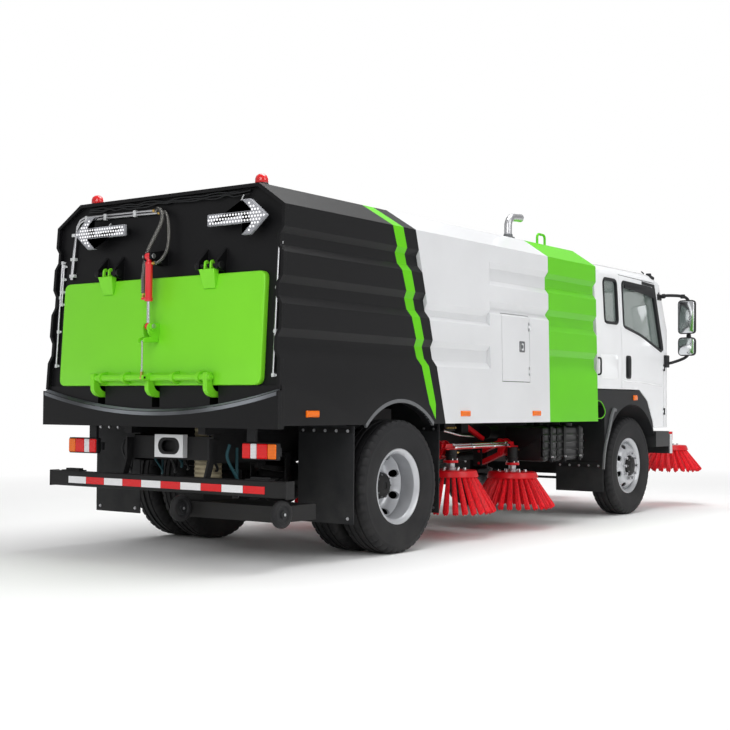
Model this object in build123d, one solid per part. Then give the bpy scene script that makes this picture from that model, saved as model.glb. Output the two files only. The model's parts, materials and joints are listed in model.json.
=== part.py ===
"""Street sweeper truck: a two-axle cab-over lorry with a hopper, an engine cover and a water tank.

Millimetres. +X forward, +Y left, +Z up. Sizes are given from the rear axle's centre line (x) and
the ground (z); every piece is moved back by SHIFT_X when it is written, so that the origin lies
under the middle of the whole vehicle.
"""
import os
from math import atan2, degrees, hypot

from build123d import *

os.makedirs("parts", exist_ok=True)

GAP = 0.3                     # clearance between pieces that seat on each other
SEAM = 8.0                    # clearance round a door

# ---- Wheels and axles
WHEELBASE = 4500.0
TYRE_R = 510.0
TYRE_W = 250.0
RIM_R = 290.0
HUB_R = 110.0
FRONT_TRACK = 905.0           # centre of a front tyre from the middle
REAR_OUTER = 1070.0           # centres of a rear pair's tyres from the middle
REAR_INNER = 760.0
KINGPIN_Y = FRONT_TRACK - 165.0
AXLE_Z = TYRE_R
REACH = WHEELBASE / 4500.0    # the layout between the axles is drawn for this wheelbase

# ---- Chassis frame
RAIL_Y = 410.0                # outer face of a rail
RAIL_W = 70.0
RAIL_LOW = 700.0
RAIL_TOP = 910.0
RAIL_T = 8.0
RAIL_REAR = -1250.0
RAIL_FRONT = WHEELBASE + 800.0

# ---- Body: hopper, engine cover and water tank share one outline
BODY_LOW = 985.0
BODY_LOW_Y = 1195.0
BODY_EAVE = 2506.0
BODY_EAVE_Y = 1165.0
BODY_TOP = BODY_EAVE + 168.0
BODY_TOP_Y = 915.0
WALL = 40.0
FLOOR_LOW = 1160.0
GROOVE = 35.0                 # depth of a pressed groove in the side
REAR_LOW_X = -1430.0          # rear wall at BODY_LOW; it leans forward
REAR_LEAN = 0.06
SPLIT_LOW_X = 624.0           # slanted border of hopper and engine cover
SPLIT_TOP_X = 225.0
COVER_STEP_X = 1344.0 * REACH         # where the engine cover's side changes its grooves
COVER_FRONT_X = 2400.0 * REACH
TANK_FRONT_X = WHEELBASE - 1110.0
ARCH_R = 640.0
SIDE_RISE = (BODY_EAVE - BODY_LOW) / 1521.0   # heights on the sides are drawn for this rise


def up(drawn):
    """A drawn height on the body's sides, moved with its eave."""
    return BODY_LOW + (drawn - 985.0) * SIDE_RISE


def groove_rows(*rows):
    """Grooves, bottom up, each as the heights of its outer edge, floor edges and outer edge."""
    return [[up(z) for z in row] for row in rows]


GROOVES = groove_rows((1440, 1500, 1592, 1650), (1818, 1875, 1962, 2015), (2175, 2226, 2305, 2350))
COVER_GROOVES_REAR = groove_rows((1440, 1493, 1593, 1640), (1805, 1840, 1890, 1943))
COVER_GROOVES_FRONT = groove_rows((1912, 1960, 1972, 2020), (2158, 2205, 2310, 2362))

# ---- Discharge door and its lock
DOOR_Y = 1025.0
DOOR_LOW = up(1262)
DOOR_TOP = up(2052)
DOOR_T = 45.0
MOUTH_Y = 930.0
MOUTH_LOW = up(1350)
MOUTH_TOP = up(1970)
DOOR_HINGE_X = -1432.0
DOOR_HINGE_Z = up(2110)
DOOR_ARM_Y = 520.0
DOOR_ARM_W = 150.0
PIN_R = 15.0
CYL_X = -1512.0               # cylinder on the rear wall
CYL_TOP_Z = up(2200)
CYL_R = 32.0
CYL_LEN = 330.0
ROD_R = 14.0
ROD_EYE_Z = up(1690)
LOCK_X = -1500.0
LOCK_Z = up(1318)
LOCK_R = 24.0
LOCK_HALF = 610.0
HOOK_YS = (575.0, 0.0, -575.0)
HOOK_W = 40.0
LEVER = 70.0                  # crank and lever of the lock link
LINK_TOP_Z = up(1585)
LINK_Y = -17.0

# ---- Cab
CAB_REAR = WHEELBASE - 860.0
CAB_Y = 1060.0
CAB_TOP_Y = 1015.0
CAB_FLOOR = 1180.0
CAB_LOW = 905.0
CAB_ROOF = 2590.0
CAB_BELT = 1750.0
CAB_NOSE = WHEELBASE + 1040.0
CAB_WALL = 45.0
FENDER_TOP = 1300.0
SEAM_REAR_X = WHEELBASE - 270.0
SEAM_FRONT_X = CAB_NOSE - 250.0
CAB_PIVOT_X = CAB_NOSE - 110.0
CAB_PIVOT_Z = 940.0
GLASS_T = 6.0
CAB_CLEAR = 10.0              # between the cab and the fenders below it

# ---- Brushes: side, centre x, centre y, height of the tips, height of the cap's top
BRUSH_R = 410.0
CAP_R = 240.0
MIDDLE_BRUSHES = (("rear", 1330.0 * REACH, 800.0, 208.0, 575.0), ("front", 2400.0 * REACH, 800.0, 185.0, 520.0))
NOSE_BRUSH = (CAB_NOSE + 460.0, 800.0, 395.0, 690.0)

# ---- Shapes -------------------------------------------------------------------------------------


def box(x, y, z):
    """A block between two values along each axis."""
    size = [abs(b - a) for a, b in (x, y, z)]
    return Pos(*[(a + b) / 2 for a, b in (x, y, z)]) * Box(*size)


def side_plate(points, y):
    """An outline of (x, z) points made solid between two y values."""
    plane = Plane(origin=(0, max(y), 0), x_dir=(1, 0, 0), z_dir=(0, -1, 0))
    return extrude(plane * Polygon(*points, align=None), abs(y[1] - y[0]), dir=(0, -1, 0))


def cross_plate(points, x):
    """An outline of (y, z) points made solid between two x values."""
    plane = Plane(origin=(min(x), 0, 0), x_dir=(0, 1, 0), z_dir=(1, 0, 0))
    return extrude(plane * Polygon(*points, align=None), abs(x[1] - x[0]), dir=(1, 0, 0))


def flat_plate(points, z):
    """An outline of (x, y) points made solid between two z values."""
    return extrude(Plane.XY.offset(min(z)) * Polygon(*points, align=None), abs(z[1] - z[0]), dir=(0, 0, 1))


def bar(start, end, radius):
    """A round bar from one point to another."""
    start, end = Vector(*start), Vector(*end)
    plane = Plane(origin=start, z_dir=(end - start).normalized())
    return extrude(plane * Circle(radius), (end - start).length)


def disc(centre, radius, half, axis):
    """A round disc about its centre, with its axis along "x", "y" or "z"."""
    step = Vector(*[half if name == axis else 0 for name in "xyz"])
    middle = Vector(*centre)
    return bar(middle - step, middle + step, radius)


def flat_bar(start, end, width, y):
    """A flat bar between two (x, z) points, made solid between two y values."""
    (x0, z0), (x1, z1) = start, end
    length = hypot(x1 - x0, z1 - z0)
    dx, dz = -(z1 - z0) / length * width / 2, (x1 - x0) / length * width / 2
    points = ((x0 + dx, z0 + dz), (x1 + dx, z1 + dz), (x1 - dx, z1 - dz), (x0 - dx, z0 - dz))
    return side_plate(points, y)


def pipe(points, radii, radius):
    """A round pipe along straight runs joined by arcs."""
    path = FilletPolyline(*points, radius=radii)
    plane = Plane(origin=path @ 0, z_dir=path % 0)
    return sweep(plane * Circle(radius), path=path)


def turned(points, centre, axis):
    """A ring turned from (radius, along) points about an axis through the centre."""
    across = {"y": (1, 0, 0), "z": (1, 0, 0)}[axis]
    along = {"y": (0, 1, 0), "z": (0, 0, 1)}[axis]
    normal = Vector(*across).cross(Vector(*along))
    plane = Plane(origin=centre, x_dir=across, z_dir=normal)
    return revolve(plane * Polygon(*points, align=None), Axis(centre, along))


def joined(shapes):
    """One shape from many that touch or overlap."""
    shapes = list(shapes)
    return shapes[0].fuse(*shapes[1:]) if len(shapes) > 1 else shapes[0]


def group(shapes):
    """Several solids that share a node and don't touch."""
    return Compound([solid for shape in shapes for solid in shape.solids()])


def both_sides(shape):
    """A shape and its mirror image across the vehicle."""
    return [shape, mirror(shape, about=Plane.XZ)]


pieces = {}


# ---- Wheels and axles ---------------------------------------------------------------------------

BEAD = 88.0                   # half width of a rim between its flanges
RIM_OUT = RIM_R - 18 - GAP    # outside of the rim's barrel
RIM_IN = RIM_OUT - 22
SPINDLE_R = 60.0
FRONT_HUB_IN = 80.0           # inner face of a front hub, outward from the tyre's middle
REAR_HUB_IN = -30.0
DRUM_R = 195.0
EYE_R = 45.0                  # the beam's eye round a kingpin
EYE_HALF = 60.0
KINGPIN_R = 22.0
ARM_BACK = 220.0              # from a kingpin back to the tie rod's pin
ARM_Z = 400.0
TIE_Y = KINGPIN_Y
TIE_Z = ARM_Z - 32
BEAM_TOP = AXLE_Z + 20


def tyre(x, y):
    """A tyre with its rounded shoulders; its axis lies along Y."""
    half = TYRE_W / 2
    # radius, along
    side = ((RIM_R - 18, BEAD), (RIM_R + 2, BEAD), (RIM_R + 40, half * 0.92), (TYRE_R - 90, half),
            (TYRE_R - 22, half * 0.94), (TYRE_R, half * 0.8))
    section = [(r, -a) for r, a in side] + [(r, a) for r, a in reversed(side)]
    return turned(section, (x, y, AXLE_Z), "y")


def barrel(middle):
    """The barrel of a rim with its two flanges, as (radius, along) points."""
    lip = BEAD + GAP
    return ((RIM_IN, middle - lip - 14), (RIM_R, middle - lip - 14), (RIM_R, middle - lip),
            (RIM_OUT, middle - lip), (RIM_OUT, middle + lip), (RIM_R, middle + lip),
            (RIM_R, middle + lip + 14), (RIM_IN, middle + lip + 14))


def wheel_disc(rings, x, y, side):
    """Rings given as (radius, outward) points, turned about a wheel's axis and joined."""
    return joined(turned([(r, side * a) for r, a in ring], (x, y, AXLE_Z), "y") for ring in rings)


def front_rim(side):
    """The bulged front rim with its hub."""
    bulge = BEAD + 22
    face = ((RIM_IN + 2, 20), (RIM_IN + 2, 42), (RIM_IN - 50, bulge), (HUB_R - 5, bulge + 8),
            (HUB_R - 5, FRONT_HUB_IN), (RIM_IN - 58, FRONT_HUB_IN), (RIM_IN - 4, 20))
    hub = ((0, FRONT_HUB_IN), (HUB_R, FRONT_HUB_IN), (HUB_R, bulge + 20), (HUB_R - 25, bulge + 36), (0, bulge + 36))
    return wheel_disc((barrel(0), face, hub), WHEELBASE, side * FRONT_TRACK, side)


def rear_rims(side):
    """The two dished rear rims, joined at their discs, with the hub through them."""
    middle = (REAR_OUTER + REAR_INNER) / 2
    offset = REAR_OUTER - middle
    dish = ((RIM_IN + 2, 84), (RIM_IN + 2, 106), (RIM_IN - 66, 14), (HUB_R - 10, 14), (HUB_R - 10, 0), (RIM_IN - 60, 0))
    back = [(r, -a) for r, a in dish]
    hub = ((0, REAR_HUB_IN), (HUB_R, REAR_HUB_IN), (HUB_R, 110), (HUB_R - 25, 128), (0, 128))
    rings = (barrel(offset), barrel(-offset), dish, back, hub)
    return wheel_disc(rings, 0, side * middle, side)


for name, side in (("left", 1), ("right", -1)):
    pieces[f"tyre_front_{name}"] = tyre(WHEELBASE, side * FRONT_TRACK)
    pieces[f"rim_front_{name}"] = front_rim(side)
    pieces[f"tyres_rear_{name}"] = group([tyre(0, side * REAR_OUTER), tyre(0, side * REAR_INNER)])
    pieces[f"rims_rear_{name}"] = rear_rims(side)


def knuckle(side):
    """Drum, spindle, kingpin with its lugs, and steering arm of one steered wheel."""
    y = side * KINGPIN_Y
    lug = EYE_HALF + 2
    hub_y = side * (FRONT_TRACK + FRONT_HUB_IN - GAP)
    back_y = y + side * (EYE_R + 12)
    pin = disc((WHEELBASE, y, AXLE_Z), KINGPIN_R, lug + 28, "z")
    lugs = [box((WHEELBASE - 38, WHEELBASE + 38), (y - side * 38, back_y), (AXLE_Z + s * lug, AXLE_Z + s * (lug + 28)))
            for s in (1, -1)]
    web = box((WHEELBASE - 38, WHEELBASE + 38), (back_y, back_y + side * 40), (ARM_Z - 10, AXLE_Z + lug + 28))
    spindle = bar((WHEELBASE, back_y, AXLE_Z), (WHEELBASE, hub_y, AXLE_Z), SPINDLE_R)
    drum = bar((WHEELBASE, back_y + side * 38, AXLE_Z), (WHEELBASE, back_y + side * 130, AXLE_Z), DRUM_R)
    back = WHEELBASE - ARM_BACK
    arm = flat_plate(((WHEELBASE + 30, y - side * 30), (back, side * (TIE_Y - 26)), (back - 26, side * TIE_Y),
                      (back, side * (TIE_Y + 26)), (WHEELBASE - 30, back_y + side * 30), (WHEELBASE + 30, back_y + side * 30)),
                     (ARM_Z - 10, ARM_Z + 14))
    tie_pin = bar((back, side * TIE_Y, ARM_Z), (back, side * TIE_Y, TIE_Z - 20), 12)
    return joined([pin] + lugs + [web, spindle, drum, arm, tie_pin])


pieces["knuckle_left"] = knuckle(1)
pieces["knuckle_right"] = knuckle(-1)

tie_x = WHEELBASE - ARM_BACK
tie_eyes = both_sides(disc((tie_x, TIE_Y, TIE_Z), 28, 14, "z"))
tie_holes = both_sides(disc((tie_x, TIE_Y, TIE_Z), 12.05, 20, "z"))
tie_bar = bar((tie_x, TIE_Y - 20, TIE_Z), (tie_x, 20 - TIE_Y, TIE_Z), 13)
pieces["tie_rod"] = joined([tie_bar] + tie_eyes) - tie_holes

beam = cross_plate(((-540, BEAM_TOP - 130), (540, BEAM_TOP - 130), (KINGPIN_Y, AXLE_Z - 40), (KINGPIN_Y, AXLE_Z + 40),
                    (560, BEAM_TOP), (-560, BEAM_TOP), (-KINGPIN_Y, AXLE_Z + 40), (-KINGPIN_Y, AXLE_Z - 40)),
                   (WHEELBASE - 40, WHEELBASE + 40))
eyes = both_sides(disc((WHEELBASE, KINGPIN_Y, AXLE_Z), EYE_R, EYE_HALF, "z"))
bores = both_sides(disc((WHEELBASE, KINGPIN_Y, AXLE_Z), KINGPIN_R + 0.05, EYE_HALF + 5, "z"))
pieces["front_axle"] = joined([beam] + eyes) - bores

AXLE_TUBE_R = 65.0
SEAT_TOP = AXLE_Z + 80        # spring seats of the rear axle
SPRING_Y = RAIL_Y - RAIL_W / 2
SPRING_W = 74.0
SHAFT_R = 45.0
GEARBOX_REAR = WHEELBASE - 1080.0
GEARBOX_Z = 650.0
tube_end = (REAR_OUTER + REAR_INNER) / 2 + REAR_HUB_IN - GAP
axle_tube = disc((0, 0, AXLE_Z), AXLE_TUBE_R, tube_end, "y")
ball = Pos(0, 0, AXLE_Z) * Sphere(195)
nose = bar((0, 0, AXLE_Z), (300, 0, AXLE_Z + 12), 95)
seats = both_sides(box((-95, 95), (SPRING_Y - SPRING_W / 2, SPRING_Y + SPRING_W / 2), (AXLE_Z, SEAT_TOP)))
drums = both_sides(disc((0, (REAR_OUTER + REAR_INNER) / 2 - 150, AXLE_Z), DRUM_R, 70, "y"))
shaft = bar((260, 0, AXLE_Z + 12), (GEARBOX_REAR - 2, 0, GEARBOX_Z), SHAFT_R)
pieces["rear_axle"] = joined([axle_tube, ball, nose, shaft] + seats + drums)


def leaf_spring(x, seat, rise, reach):
    """A leaf pack resting on a seat, its ends under the frame's hangers."""
    # along, up
    points = ((-95, 0), (95, 0), (0.6 * reach, 0.3 * rise), (reach, rise), (reach, rise + 26),
              (0.6 * reach, 0.3 * rise + 42), (95, 66), (-95, 66), (-0.6 * reach, 0.3 * rise + 42),
              (-reach, rise + 26), (-reach, rise), (-0.6 * reach, 0.3 * rise))
    low = seat + GAP
    return side_plate([(x + a, low + u) for a, u in points], (SPRING_Y - SPRING_W / 2, SPRING_Y + SPRING_W / 2))


FRONT_SPRING = (WHEELBASE, BEAM_TOP, 84.0, 680.0)
REAR_SPRING = (0.0, SEAT_TOP, 60.0, 720.0)
springs = [leaf_spring(*row) for row in (FRONT_SPRING, REAR_SPRING)]
pieces["leaf_springs"] = group([half for spring in springs for half in both_sides(spring)])

# ---- Chassis frame ------------------------------------------------------------------------------

CROSS_XS = (-1215.0, -480.0, 480.0, 1400.0 * REACH, 2300.0 * REACH, 3200.0 * REACH, RAIL_FRONT - 35.0)
BEARER_XS = (-1220.0, -720.0, 720.0, 1450.0 * REACH, 2260.0 * REACH, TANK_FRONT_X - 90.0)
BEARER_W = 60.0
SKIRT_Y = BODY_EAVE_Y - GROOVE - 10          # inside of the body's skirts and walls
BEARER_Y = SKIRT_Y - 5
SUBFRAME_TOP = FLOOR_LOW - GAP
SUBFRAME_FRONT = TANK_FRONT_X - 20
TOW_R = 20.0
TOW_FRONT_X = CAB_NOSE + 32.0
TOW_Z = 780.0
TOW_H = 60.0


def rail():
    """One rail: a channel open to the middle."""
    outer = box((RAIL_REAR, RAIL_FRONT), (RAIL_Y - RAIL_W, RAIL_Y), (RAIL_LOW, RAIL_TOP))
    hollow = box((RAIL_REAR - 1, RAIL_FRONT + 1), (RAIL_Y - RAIL_W - 1, RAIL_Y - RAIL_T),
                 (RAIL_LOW + RAIL_T, RAIL_TOP - RAIL_T))
    return outer - hollow


def hangers(x, seat, rise, reach):
    """The two blocks under a rail that a leaf spring's ends bear against."""
    top = seat + GAP + rise + 26 + GAP
    ys = (SPRING_Y - SPRING_W / 2, SPRING_Y + SPRING_W / 2)
    return [box((x + s * reach - 45, x + s * reach + 45), ys, (top, RAIL_LOW - GAP)) for s in (-1, 1)]


crosses = [box((x - 30, x + 30), (GAP + RAIL_T - RAIL_Y, RAIL_Y - RAIL_T - GAP), (RAIL_LOW + 20, RAIL_TOP - 20))
           for x in CROSS_XS]
BEARER_LOW = SUBFRAME_TOP - 60
half = [rail(), box((RAIL_REAR - 90, SUBFRAME_FRONT), (RAIL_Y - RAIL_W, RAIL_Y), (RAIL_TOP + GAP, BEARER_LOW - GAP))]
half += hangers(*FRONT_SPRING) + hangers(*REAR_SPRING)
bearers = [box((x - BEARER_W / 2, x + BEARER_W / 2), (-BEARER_Y, BEARER_Y), (BEARER_LOW, SUBFRAME_TOP)) for x in BEARER_XS]
tow_front = box((CROSS_XS[-1] + 30 + GAP, TOW_FRONT_X + 40), (-50, 50), (TOW_Z - TOW_H / 2, TOW_Z + TOW_H / 2))
tow_front = tow_front - disc((TOW_FRONT_X, 0, TOW_Z), TOW_R, TOW_H, "z")

# towing plate at the rear: its face, its cheeks and its slot
PLATE_X = (-1292.0, -1280.0)
PLATE_Y = 145.0
PLATE_Z = (735.0, 905.0)
SLOT_HALF = 75.0
SLOT_R = 43.0
plate_face = box(PLATE_X, (-PLATE_Y, PLATE_Y), PLATE_Z)
cheeks = both_sides(box((PLATE_X[0] + 2, CROSS_XS[0] - 30 - GAP), (PLATE_Y - 12, PLATE_Y), PLATE_Z))
slot_z = sum(PLATE_Z) / 2
slot_ends = both_sides(bar((PLATE_X[0] - 5, SLOT_HALF - SLOT_R, slot_z), (PLATE_X[1] + 5, SLOT_HALF - SLOT_R, slot_z), SLOT_R))
slot_middle = box((PLATE_X[0] - 5, PLATE_X[1] + 5), (SLOT_R - SLOT_HALF, SLOT_HALF - SLOT_R), (slot_z - SLOT_R, slot_z + SLOT_R))
tow_plate = joined([plate_face] + cheeks) - joined([slot_middle] + slot_ends)

# what carries the cab: ears for its pivot in front, posts for its rear edge
PIVOT_R = 20.0
PIVOT_EAR_YS = ((340.0, 352.0), (388.0, 400.0))
CAB_POST_X = (CAB_REAR + 15.0, CAB_REAR + 75.0)
for near, far in PIVOT_EAR_YS:
    ear = box((CAB_PIVOT_X - 200, CAB_PIVOT_X), (near, far), (RAIL_TOP + GAP, CAB_PIVOT_Z + 28))
    eye = bar((CAB_PIVOT_X, near, CAB_PIVOT_Z), (CAB_PIVOT_X, far, CAB_PIVOT_Z), 28)
    half.append(joined([ear, eye]) - bar((CAB_PIVOT_X, 320, CAB_PIVOT_Z), (CAB_PIVOT_X, 420, CAB_PIVOT_Z), PIVOT_R + 0.05))
half.append(box(CAB_POST_X, (RAIL_Y - RAIL_W, RAIL_Y), (RAIL_TOP + GAP, FENDER_TOP + CAB_CLEAR - GAP)))

# ears that carry the middle brushes' links, one pair beside each brush
EAR_T = 16.0
EAR_IN = 42.0                 # inner face of an ear from the brush's centre
LINK_IN_Y = RAIL_Y + 62
LINK_LOW_Z = 590.0            # inner pins of the lower links
LINK_UP_Z = 700.0             # inner pins of the upper links
LINK_PIN_R = 12.0
brush_xs = [row[1] for row in MIDDLE_BRUSHES]
for x in brush_xs:
    bores = [bar((x - 80, LINK_IN_Y, z), (x + 80, LINK_IN_Y, z), LINK_PIN_R + 0.05) for z in (LINK_LOW_Z, LINK_UP_Z)]
    for s in (-1, 1):
        near, far = sorted((x + s * EAR_IN, x + s * (EAR_IN + EAR_T)))
        half.append(box((near, far), (RAIL_Y + GAP, LINK_IN_Y + 28), (LINK_LOW_Z - 30, RAIL_LOW + 60)) - bores)

# forks under the front ends of the rails that carry the nose brushes' arms
NOSE_PIVOT = (RAIL_FRONT + 50.0, 430.0)
NOSE_ARM_Z = (560.0, 600.0)
NOSE_PIN_R = 18.0
FORK_Z = (NOSE_ARM_Z[0] - 23, RAIL_LOW - GAP)
fork = [box((RAIL_FRONT - 85, RAIL_FRONT), (NOSE_PIVOT[1] - 45, NOSE_PIVOT[1] + 45), FORK_Z),
        box((RAIL_FRONT - 85, RAIL_FRONT), (RAIL_Y - 45, NOSE_PIVOT[1] + 45), (FORK_Z[1] - 10, FORK_Z[1]))]
for low in (FORK_Z[0], NOSE_ARM_Z[1] + 3):
    fork.append(box((RAIL_FRONT - 5, NOSE_PIVOT[0] + 45), (NOSE_PIVOT[1] - 45, NOSE_PIVOT[1] + 45), (low, low + 20)))
half.append(joined(fork) - disc((*NOSE_PIVOT, sum(NOSE_ARM_Z) / 2), NOSE_PIN_R + 0.05, 60, "z"))

# ears that carry the suction nozzle
NOZZLE_PIVOT = (-480.0, 560.0)
NOZZLE_ARM_YS = (-95.0, -442.0)
NOZZLE_PIN_R = 14.0
ear_x = (NOZZLE_PIVOT[0] - 30, NOZZLE_PIVOT[0] + 30)
nozzle_bore = bar((NOZZLE_PIVOT[0], -500, NOZZLE_PIVOT[1]), (NOZZLE_PIVOT[0], -40, NOZZLE_PIVOT[1]), NOZZLE_PIN_R + 0.05)
inner_ear = box(ear_x, (-122, -113), (NOZZLE_PIVOT[1] - 30, RAIL_LOW + 20 - GAP))
outer_ear = joined([box(ear_x, (-472, -460), (NOZZLE_PIVOT[1] - 30, RAIL_LOW + 60)),
                    box(ear_x, (-472, -RAIL_Y - GAP), (RAIL_LOW + 20, RAIL_LOW + 60))])
nozzle_ears = [inner_ear - nozzle_bore, outer_ear - nozzle_bore]

pieces["chassis_frame"] = group([solid for piece in half for solid in both_sides(piece)] + crosses + bearers
                                + [tow_front, tow_plate] + nozzle_ears)

ENGINE_Y = 320.0
engine = box((WHEELBASE - 240, RAIL_FRONT - 70), (-ENGINE_Y, ENGINE_Y), (620, 1110))
gearbox = box((GEARBOX_REAR, WHEELBASE - 200), (-170, 170), (560, 880))
lugs = both_sides(box((WHEELBASE + 200, WHEELBASE + 300), (ENGINE_Y - 20, RAIL_Y - RAIL_T - GAP), (RAIL_LOW + RAIL_T + GAP, 790)))
gear_lugs = both_sides(box((GEARBOX_REAR + 280, GEARBOX_REAR + 360), (150, RAIL_Y - RAIL_T - GAP), (RAIL_LOW + RAIL_T + GAP, 770)))
SWEEPER_X = (1000.0 * REACH, 2150.0 * REACH)
sweeper_engine = box(SWEEPER_X, (-380, 380), (FLOOR_LOW + WALL + GAP, up(2150)))
pieces["engines"] = group([joined([engine, gearbox] + lugs + gear_lugs), sweeper_engine])

# ---- Body ---------------------------------------------------------------------------------------

ROOF_WALL = 36.0


def side_y(z):
    """Half width of the body at a height; its sides lean in a little."""
    return BODY_LOW_Y - (z - BODY_LOW) * (BODY_LOW_Y - BODY_EAVE_Y) / (BODY_EAVE - BODY_LOW)


def half_outline(grooves):
    """The body's outer side, from its lower edge to the middle of the roof, as (y, z) points."""
    points = [(side_y(BODY_LOW), BODY_LOW)]
    for low, floor_low, floor_top, top in grooves:
        points += [(side_y(low), low), (side_y(floor_low) - GROOVE, floor_low),
                   (side_y(floor_top) - GROOVE, floor_top), (side_y(top), top)]
    return points + [(BODY_EAVE_Y, BODY_EAVE), (BODY_TOP_Y, BODY_TOP)]


def full_outline(half):
    """A half outline with its mirror image, closed."""
    return half + [(-y, z) for y, z in reversed(half)]


CAVITY_TOP = BODY_TOP - ROOF_WALL
hollow_half = [(SKIRT_Y, FLOOR_LOW + WALL), (SKIRT_Y, BODY_EAVE - 20), (BODY_TOP_Y - 15, CAVITY_TOP)]
under_half = [(SKIRT_Y, BODY_LOW - 10), (SKIRT_Y, FLOOR_LOW)]


def body_solid(grooves, xs):
    """The outline solid from end to end."""
    return cross_plate(full_outline(half_outline(grooves)), xs)


def body_shell(grooves, xs):
    """Walls, roof, floor and skirts, open at both ends."""
    solid = body_solid(grooves, xs) - cross_plate(full_outline(under_half), (xs[0] - 5, xs[1] + 5))
    return solid - cross_plate(full_outline(hollow_half), (xs[0] - 5, xs[1] + 5))


def rear_x(z):
    """The rear wall's outer face at a height."""
    return REAR_LOW_X + REAR_LEAN * (z - BODY_LOW)


def split_x(z):
    """The slanted border between hopper and engine cover at a height."""
    return SPLIT_LOW_X + (z - BODY_LOW) * (SPLIT_TOP_X - SPLIT_LOW_X) / (BODY_EAVE - BODY_LOW)


def slab(rear, front, low=BODY_LOW - 20, top=BODY_TOP + 20):
    """Everything between two slanted planes given as functions of z."""
    points = ((rear(low), low), (front(low), low), (front(top), top), (rear(top), top))
    return side_plate(points, (-BODY_LOW_Y - 50, BODY_LOW_Y + 50))


def shifted(line, by):
    """A slanted plane moved along X."""
    return lambda z: line(z) + by


span = (REAR_LOW_X - 20, SPLIT_LOW_X + 20)
solid = body_solid(GROOVES, span)
above_floor = box((-2000, 2000), (-1300, 1300), (FLOOR_LOW, BODY_TOP + 50))
rear_wall = solid & slab(rear_x, shifted(rear_x, WALL)) & above_floor
front_wall = solid & slab(shifted(split_x, -WALL - GAP), shifted(split_x, -GAP)) & above_floor
shell = body_shell(GROOVES, span) & slab(rear_x, shifted(split_x, -GAP))
arch = disc((0, 0, AXLE_Z), ARCH_R, BODY_LOW_Y + 50, "y")
mouth = box((REAR_LOW_X - 50, REAR_LOW_X + 150), (-MOUTH_Y, MOUTH_Y), (MOUTH_LOW, MOUTH_TOP))
SKIRT_LOW = 962.0
rear_skirt = box((REAR_LOW_X, REAR_LOW_X + 25), (-BODY_LOW_Y, BODY_LOW_Y), (SKIRT_LOW, FLOOR_LOW + 100))
DOOR_PLANE_LEAN = degrees(atan2(REAR_LEAN, 1))


def door_box(out, y, z):
    """A block on the leaning rear wall: distances outward from the wall, then y and z."""
    points = [(rear_x(h) - o, h) for o, h in ((out[0], z[0]), (out[1], z[0]), (out[1], z[1]), (out[0], z[1]))]
    return side_plate(points, y)


HINGE_EAR_T = 24.0
ear_points = [(rear_x(h) - o, h) for o, h in ((0, DOOR_HINGE_Z - 48), (0, DOOR_HINGE_Z + 130))]
ear_points += [(DOOR_HINGE_X - 26, DOOR_HINGE_Z + 26), (DOOR_HINGE_X - 26, DOOR_HINGE_Z - 26)]
HINGE_EARS = [s * DOOR_ARM_Y + t * (DOOR_ARM_W / 2 + HINGE_EAR_T / 2 + 3) for s in (-1, 1) for t in (-1, 1)]
ears = [side_plate(ear_points, (y - HINGE_EAR_T / 2, y + HINGE_EAR_T / 2)) for y in HINGE_EARS]
ear_bores = [bar((DOOR_HINGE_X, y - 20, DOOR_HINGE_Z), (DOOR_HINGE_X, y + 20, DOOR_HINGE_Z), PIN_R + 0.05) for y in HINGE_EARS]
CYL_EAR_Y = 32.0
cyl_points = [(rear_x(CYL_TOP_Z + h), CYL_TOP_Z + h) for h in (-60, 60)]
cyl_points += [(CYL_X - 22, CYL_TOP_Z + 24), (CYL_X - 22, CYL_TOP_Z - 24)]
cyl_ears = [side_plate(cyl_points, (s * CYL_EAR_Y - 8, s * CYL_EAR_Y + 8)) for s in (-1, 1)]
cyl_bore = disc((CYL_X, 0, CYL_TOP_Z), 12.05, 60, "y")
# recesses that the hooks' tips reach into
RECESS_X = -1285.0
RECESS_Z = (1105.0, DOOR_LOW + 6)
linings = [box((REAR_LOW_X + 10, RECESS_X + 22), (y - 62, y + 62), (RECESS_Z[0] - 22, RECESS_Z[1] + 22)) & slab(rear_x, lambda z: 0)
           for y in HOOK_YS]
recesses = [box((REAR_LOW_X - 20, RECESS_X), (y - 40, y + 40), RECESS_Z) for y in HOOK_YS]
hopper = joined([shell, rear_wall, front_wall, rear_skirt] + linings + ears + cyl_ears) - arch - mouth
hopper = hopper - ear_bores - cyl_bore - recesses

# rim round the rear wall, and the cover over its foot with an arched upper edge
RIM_PROUD = 35.0
RIM_T = 26.0
SKIRT_PROUD = 40.0
ARCH_RISE = 150.0             # of the cover's upper edge, from its middle to its ends
ARCH_LOW = 1075.0
rim_low = ARCH_LOW + ARCH_RISE + 10
rim_inner = [(y - RIM_T, z) for y, z in half_outline(GROOVES)[:-2]]
rim_inner += [(BODY_EAVE_Y - RIM_T, BODY_EAVE - 12), (BODY_TOP_Y - 12, BODY_TOP - RIM_T)]
rim = body_solid(GROOVES, (REAR_LOW_X - 200, 0)) & box((-2000, 0), (-1300, 1300), (rim_low, 3000))
rim = rim & slab(shifted(rear_x, -RIM_PROUD), shifted(rear_x, -GAP))
rim = rim - cross_plate(full_outline(rim_inner), (REAR_LOW_X - 300, 0))
cover_x = (REAR_LOW_X - SKIRT_PROUD, REAR_LOW_X - GAP)
arch_ys = [BODY_LOW_Y * i / 12 for i in range(-12, 13)]
arch_edge = [(y, ARCH_LOW + ARCH_RISE * (y / BODY_LOW_Y) ** 2) for y in arch_ys]
skirt_cover = cross_plate([(BODY_LOW_Y, SKIRT_LOW), (-BODY_LOW_Y, SKIRT_LOW)] + arch_edge, cover_x)
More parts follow.
